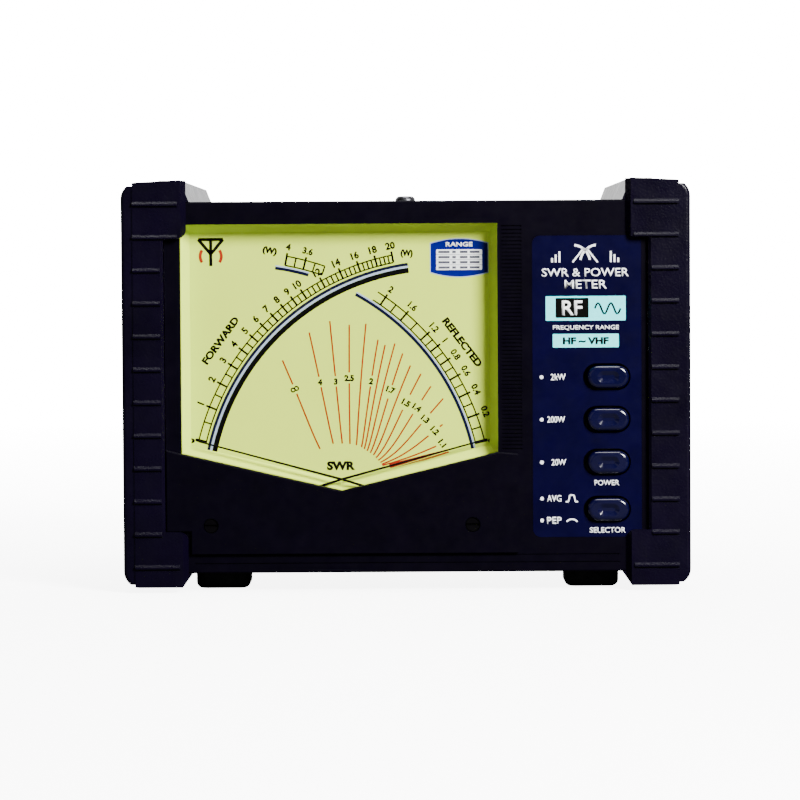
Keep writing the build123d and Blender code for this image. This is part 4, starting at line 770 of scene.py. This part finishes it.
# crossed-needle pictogram in place of a title
icon_z = label_low.z + 75.0
for side in (-1, 1):
    pivot = (label_x + side * 3.4, icon_z)
    start, end = (96, 172) if side == 1 else (8, 84)
    label_white.band(pivot, 4.4, 5.0, start, end, 5.0)
    needle_angle = radians(128 if side == 1 else 52)
    label_white.bar(pivot, (pivot[0] + 4.9 * cos(needle_angle), pivot[1] + 4.9 * sin(needle_angle)), 0.45)
for bar_x in (-9.0, -8.0, -7.0):
    height = 1.2 + (bar_x + 9.0) * 0.9
    label_white.bar((label_x - bar_x, icon_z), (label_x - bar_x, icon_z + height), 0.5)
    label_white.bar((label_x + bar_x, icon_z), (label_x + bar_x, icon_z + height), 0.5)
label_white.words("SWR & POWER", label_x, label_low.z + 72.25, 2.3, 0, 23.7, 0.008)
label_white.words("METER", label_x + 0.1, label_low.z + 69.0, 2.35, 0, 11.5, 0.008)
label_cyan.rounded(label_x - 10.8, label_low.z + 59.1, label_x + 11.0, label_low.z + 65.8, 0.3)
label_black.rounded(label_x - 8.1, label_low.z + 59.9, label_x + 0.9, label_low.z + 65.3, 0.3)
sine = [
    (label_x + 2.6 + 7.0 * step / 24, label_low.z + 62.4 + 1.5 * sin(2 * pi * step / 12)) for step in range(25)
]
label_black.path(sine, 0.5)
block_words = Print(label_face - 0.08)
block_words.words("RF", label_x - 3.6, label_low.z + 62.6, 4.0, 0, 5.6, 0.02)
label_white.words("FREQUENCY RANGE", label_x + 0.15, label_low.z + 57.15, 1.4, 0, 18.0, 0.012)
label_cyan.rounded(label_x - 8.9, label_low.z + 51.8, label_x + 9.1, label_low.z + 55.5, 0.25)
label_black.words("HF ~ VHF", label_x + 0.1, label_low.z + 53.6, 1.95, 0, 12.5, 0.05)

DOT_X = 36.9
button_rows = [node_box(f"{key}_range_button") for key in ("high", "mid", "low")]
button_z = [(low.z + high.z) / 2 for low, high in button_rows]
for text, row_z, text_x, width in zip(("2kW", "200W", "20W"), button_z, (41.4, 40.8, 41.5), (4.1, 4.9, 4.0)):
    label_white.disc(DOT_X, row_z, 0.5)
    label_white.words(text, text_x, row_z, 1.75, 0, width, 0.012)
selector_low, selector_high = node_box("selector_button")
selector_z = (selector_low.z + selector_high.z) / 2
average_z, peak_z = selector_z + 3.0, selector_z - 3.0
for text, row_z in (("AVG", average_z), ("PEP", peak_z)):
    label_white.disc(DOT_X, row_z, 0.5)
    label_white.words(text, 40.2, row_z, 1.85, 0, 4.0, 0.012)
# pulse shapes beside the two selector positions
PULSE_X, PULSE_HALF_HEIGHT = 45.05, 0.9
label_white.path([
    (PULSE_X + across, average_z + up * PULSE_HALF_HEIGHT)
    for across, up in ((-1.65, -1), (-0.95, -1), (-0.55, 1), (0.55, 1), (0.95, -1), (1.65, -1))
], 0.4)
label_white.band((PULSE_X, peak_z - 1.6), 1.7, 2.1, 40, 140, 10)
label_white.words("POWER", 54.6, label_low.z + 14.8, 1.5, 0, 6.8, 0.01)
label_white.words("SELECTOR", 54.8, label_low.z + 1.85, 1.55, 0, 9.8, 0.012)
label_white.finish("label_white_print", INK_WHITE)
label_cyan.finish("label_cyan_print", INK_CYAN)
label_black.finish("label_black_print", INK_BLACK)
block_words.finish("label_block_words", INK_WHITE)


# ================================================================ button springs
SPRING_TURNS = 3.5
SPRING_WIRE = 0.2
spring_steel = metal("spring_steel", (0.55, 0.55, 0.56), (0.25, 0.4), (1, 3, 1))


def coil_spring(node):
    """A coiled wire in place of a spring node's stack of rings."""
    low, high = node_box(node)
    middle_x, middle_z = (low.x + high.x) / 2, (low.z + high.z) / 2
    radius = (high.x - low.x) / 2 - SPRING_WIRE
    first, last = low.y + SPRING_WIRE + 0.02, high.y - SPRING_WIRE - 0.02
    around, sides = 24, 8
    count = int(SPRING_TURNS * around)
    wire = bmesh.new()
    rings = []
    for step in range(count + 1):
        turn = 2 * pi * step / around
        outward = Vector((cos(turn), 0, sin(turn)))
        centre = Vector((middle_x, first + (last - first) * step / count, middle_z)) + outward * radius
        rings.append([
            wire.verts.new((centre + (outward * cos(2 * pi * side / sides)
                                      + Vector((0, 1, 0)) * sin(2 * pi * side / sides)) * SPRING_WIRE) * MM)
            for side in range(sides)
        ])
    for ring, following in zip(rings, rings[1:]):
        for side in range(sides):
            after = (side + 1) % sides
            wire.faces.new((ring[side], ring[after], following[after], following[side]))
    wire.faces.new(rings[0][::-1])
    wire.faces.new(rings[-1])
    bmesh.ops.recalc_face_normals(wire, faces=wire.faces)
    mesh = bpy.data.meshes.new(node + "_coil")
    wire.to_mesh(mesh)
    wire.free()
    for polygon in mesh.polygons:
        polygon.use_smooth = True
    mesh.materials.append(spring_steel)
    piece = bpy.data.objects.new(node + "_coil", mesh)
    bpy.context.scene.collection.objects.link(piece)
    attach(piece, HOUSING)
    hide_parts(node)
    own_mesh(piece)


for key in ("high_range", "mid_range", "low_range", "selector"):
    coil_spring(f"{key}_spring")

# ================================================================ floor and backdrop
WALL_Y = 2.6
BEND = 0.9
FLOOR_EDGE = 4.5


def sweep_mesh(name, profile):
    """A sheet swept sideways from a profile of (y, z) points, in metres."""
    sweep = bmesh.new()
    rows = [[sweep.verts.new((x, y, z)) for y, z in profile] for x in (-FLOOR_EDGE, FLOOR_EDGE)]
    for index in range(len(profile) - 1):
        sweep.faces.new((rows[0][index], rows[1][index], rows[1][index + 1], rows[0][index + 1]))
    mesh = bpy.data.meshes.new(name)
    sweep.to_mesh(mesh)
    sweep.free()
    for polygon in mesh.polygons:
        polygon.use_smooth = True
    made = bpy.data.objects.new(name, mesh)
    bpy.context.scene.collection.objects.link(made)
    return mesh


floor_profile = [(-FLOOR_EDGE, 0.0), (WALL_Y - BEND, 0.0)]
for step in range(1, 13):
    turn = radians(90) * step / 12
    floor_profile.append((WALL_Y - BEND + BEND * sin(turn), BEND * (1 - cos(turn))))
floor_profile.append((WALL_Y, 4.0))
floor_shader = Shader("floor_paper")
sight = floor_shader.node("ShaderNodeLightPath").outputs["Is Camera Ray"]
paper = floor_shader.tones(floor_shader.noise(300.0, 3.0), (0.90, 0.90, 0.90), (0.94, 0.94, 0.94))
dim_paper = floor_shader.tones(floor_shader.noise(300.0, 3.0), (0.05, 0.05, 0.05), (0.06, 0.06, 0.06))
floor_shader.colour(floor_shader.mixed(sight, dim_paper, paper))
floor_shader.rough(floor_shader.ramp(floor_shader.noise(50.0), 0.7, 0.8))
# the sweep is lit from behind where it rises, so that it shows as white as the floor
height = floor_shader.node("ShaderNodeSeparateXYZ")
floor_shader.link(floor_shader.place, height.inputs[0])
seen_glow = floor_shader.ramp(height.outputs["Y"], 6.0, WHITE, -0.1, 1.0)
cast_glow = floor_shader.ramp(height.outputs["Y"], 0.0, 2.5, 0.6, WALL_Y - BEND)
glow = floor_shader.node("ShaderNodeMix", data_type="FLOAT")
floor_shader.link(sight, glow.inputs["Factor"])
floor_shader.link(cast_glow, glow.inputs[2])
floor_shader.link(seen_glow, glow.inputs[3])
floor_shader.link(glow.outputs[0], floor_shader.principled.inputs["Emission Strength"])
floor_material = floor_shader.fixed(Specular_IOR_Level=0.0, Emission_Color=(1, 1, 1, 1))
sweep_mesh("studio_floor", floor_profile).materials.append(floor_material)
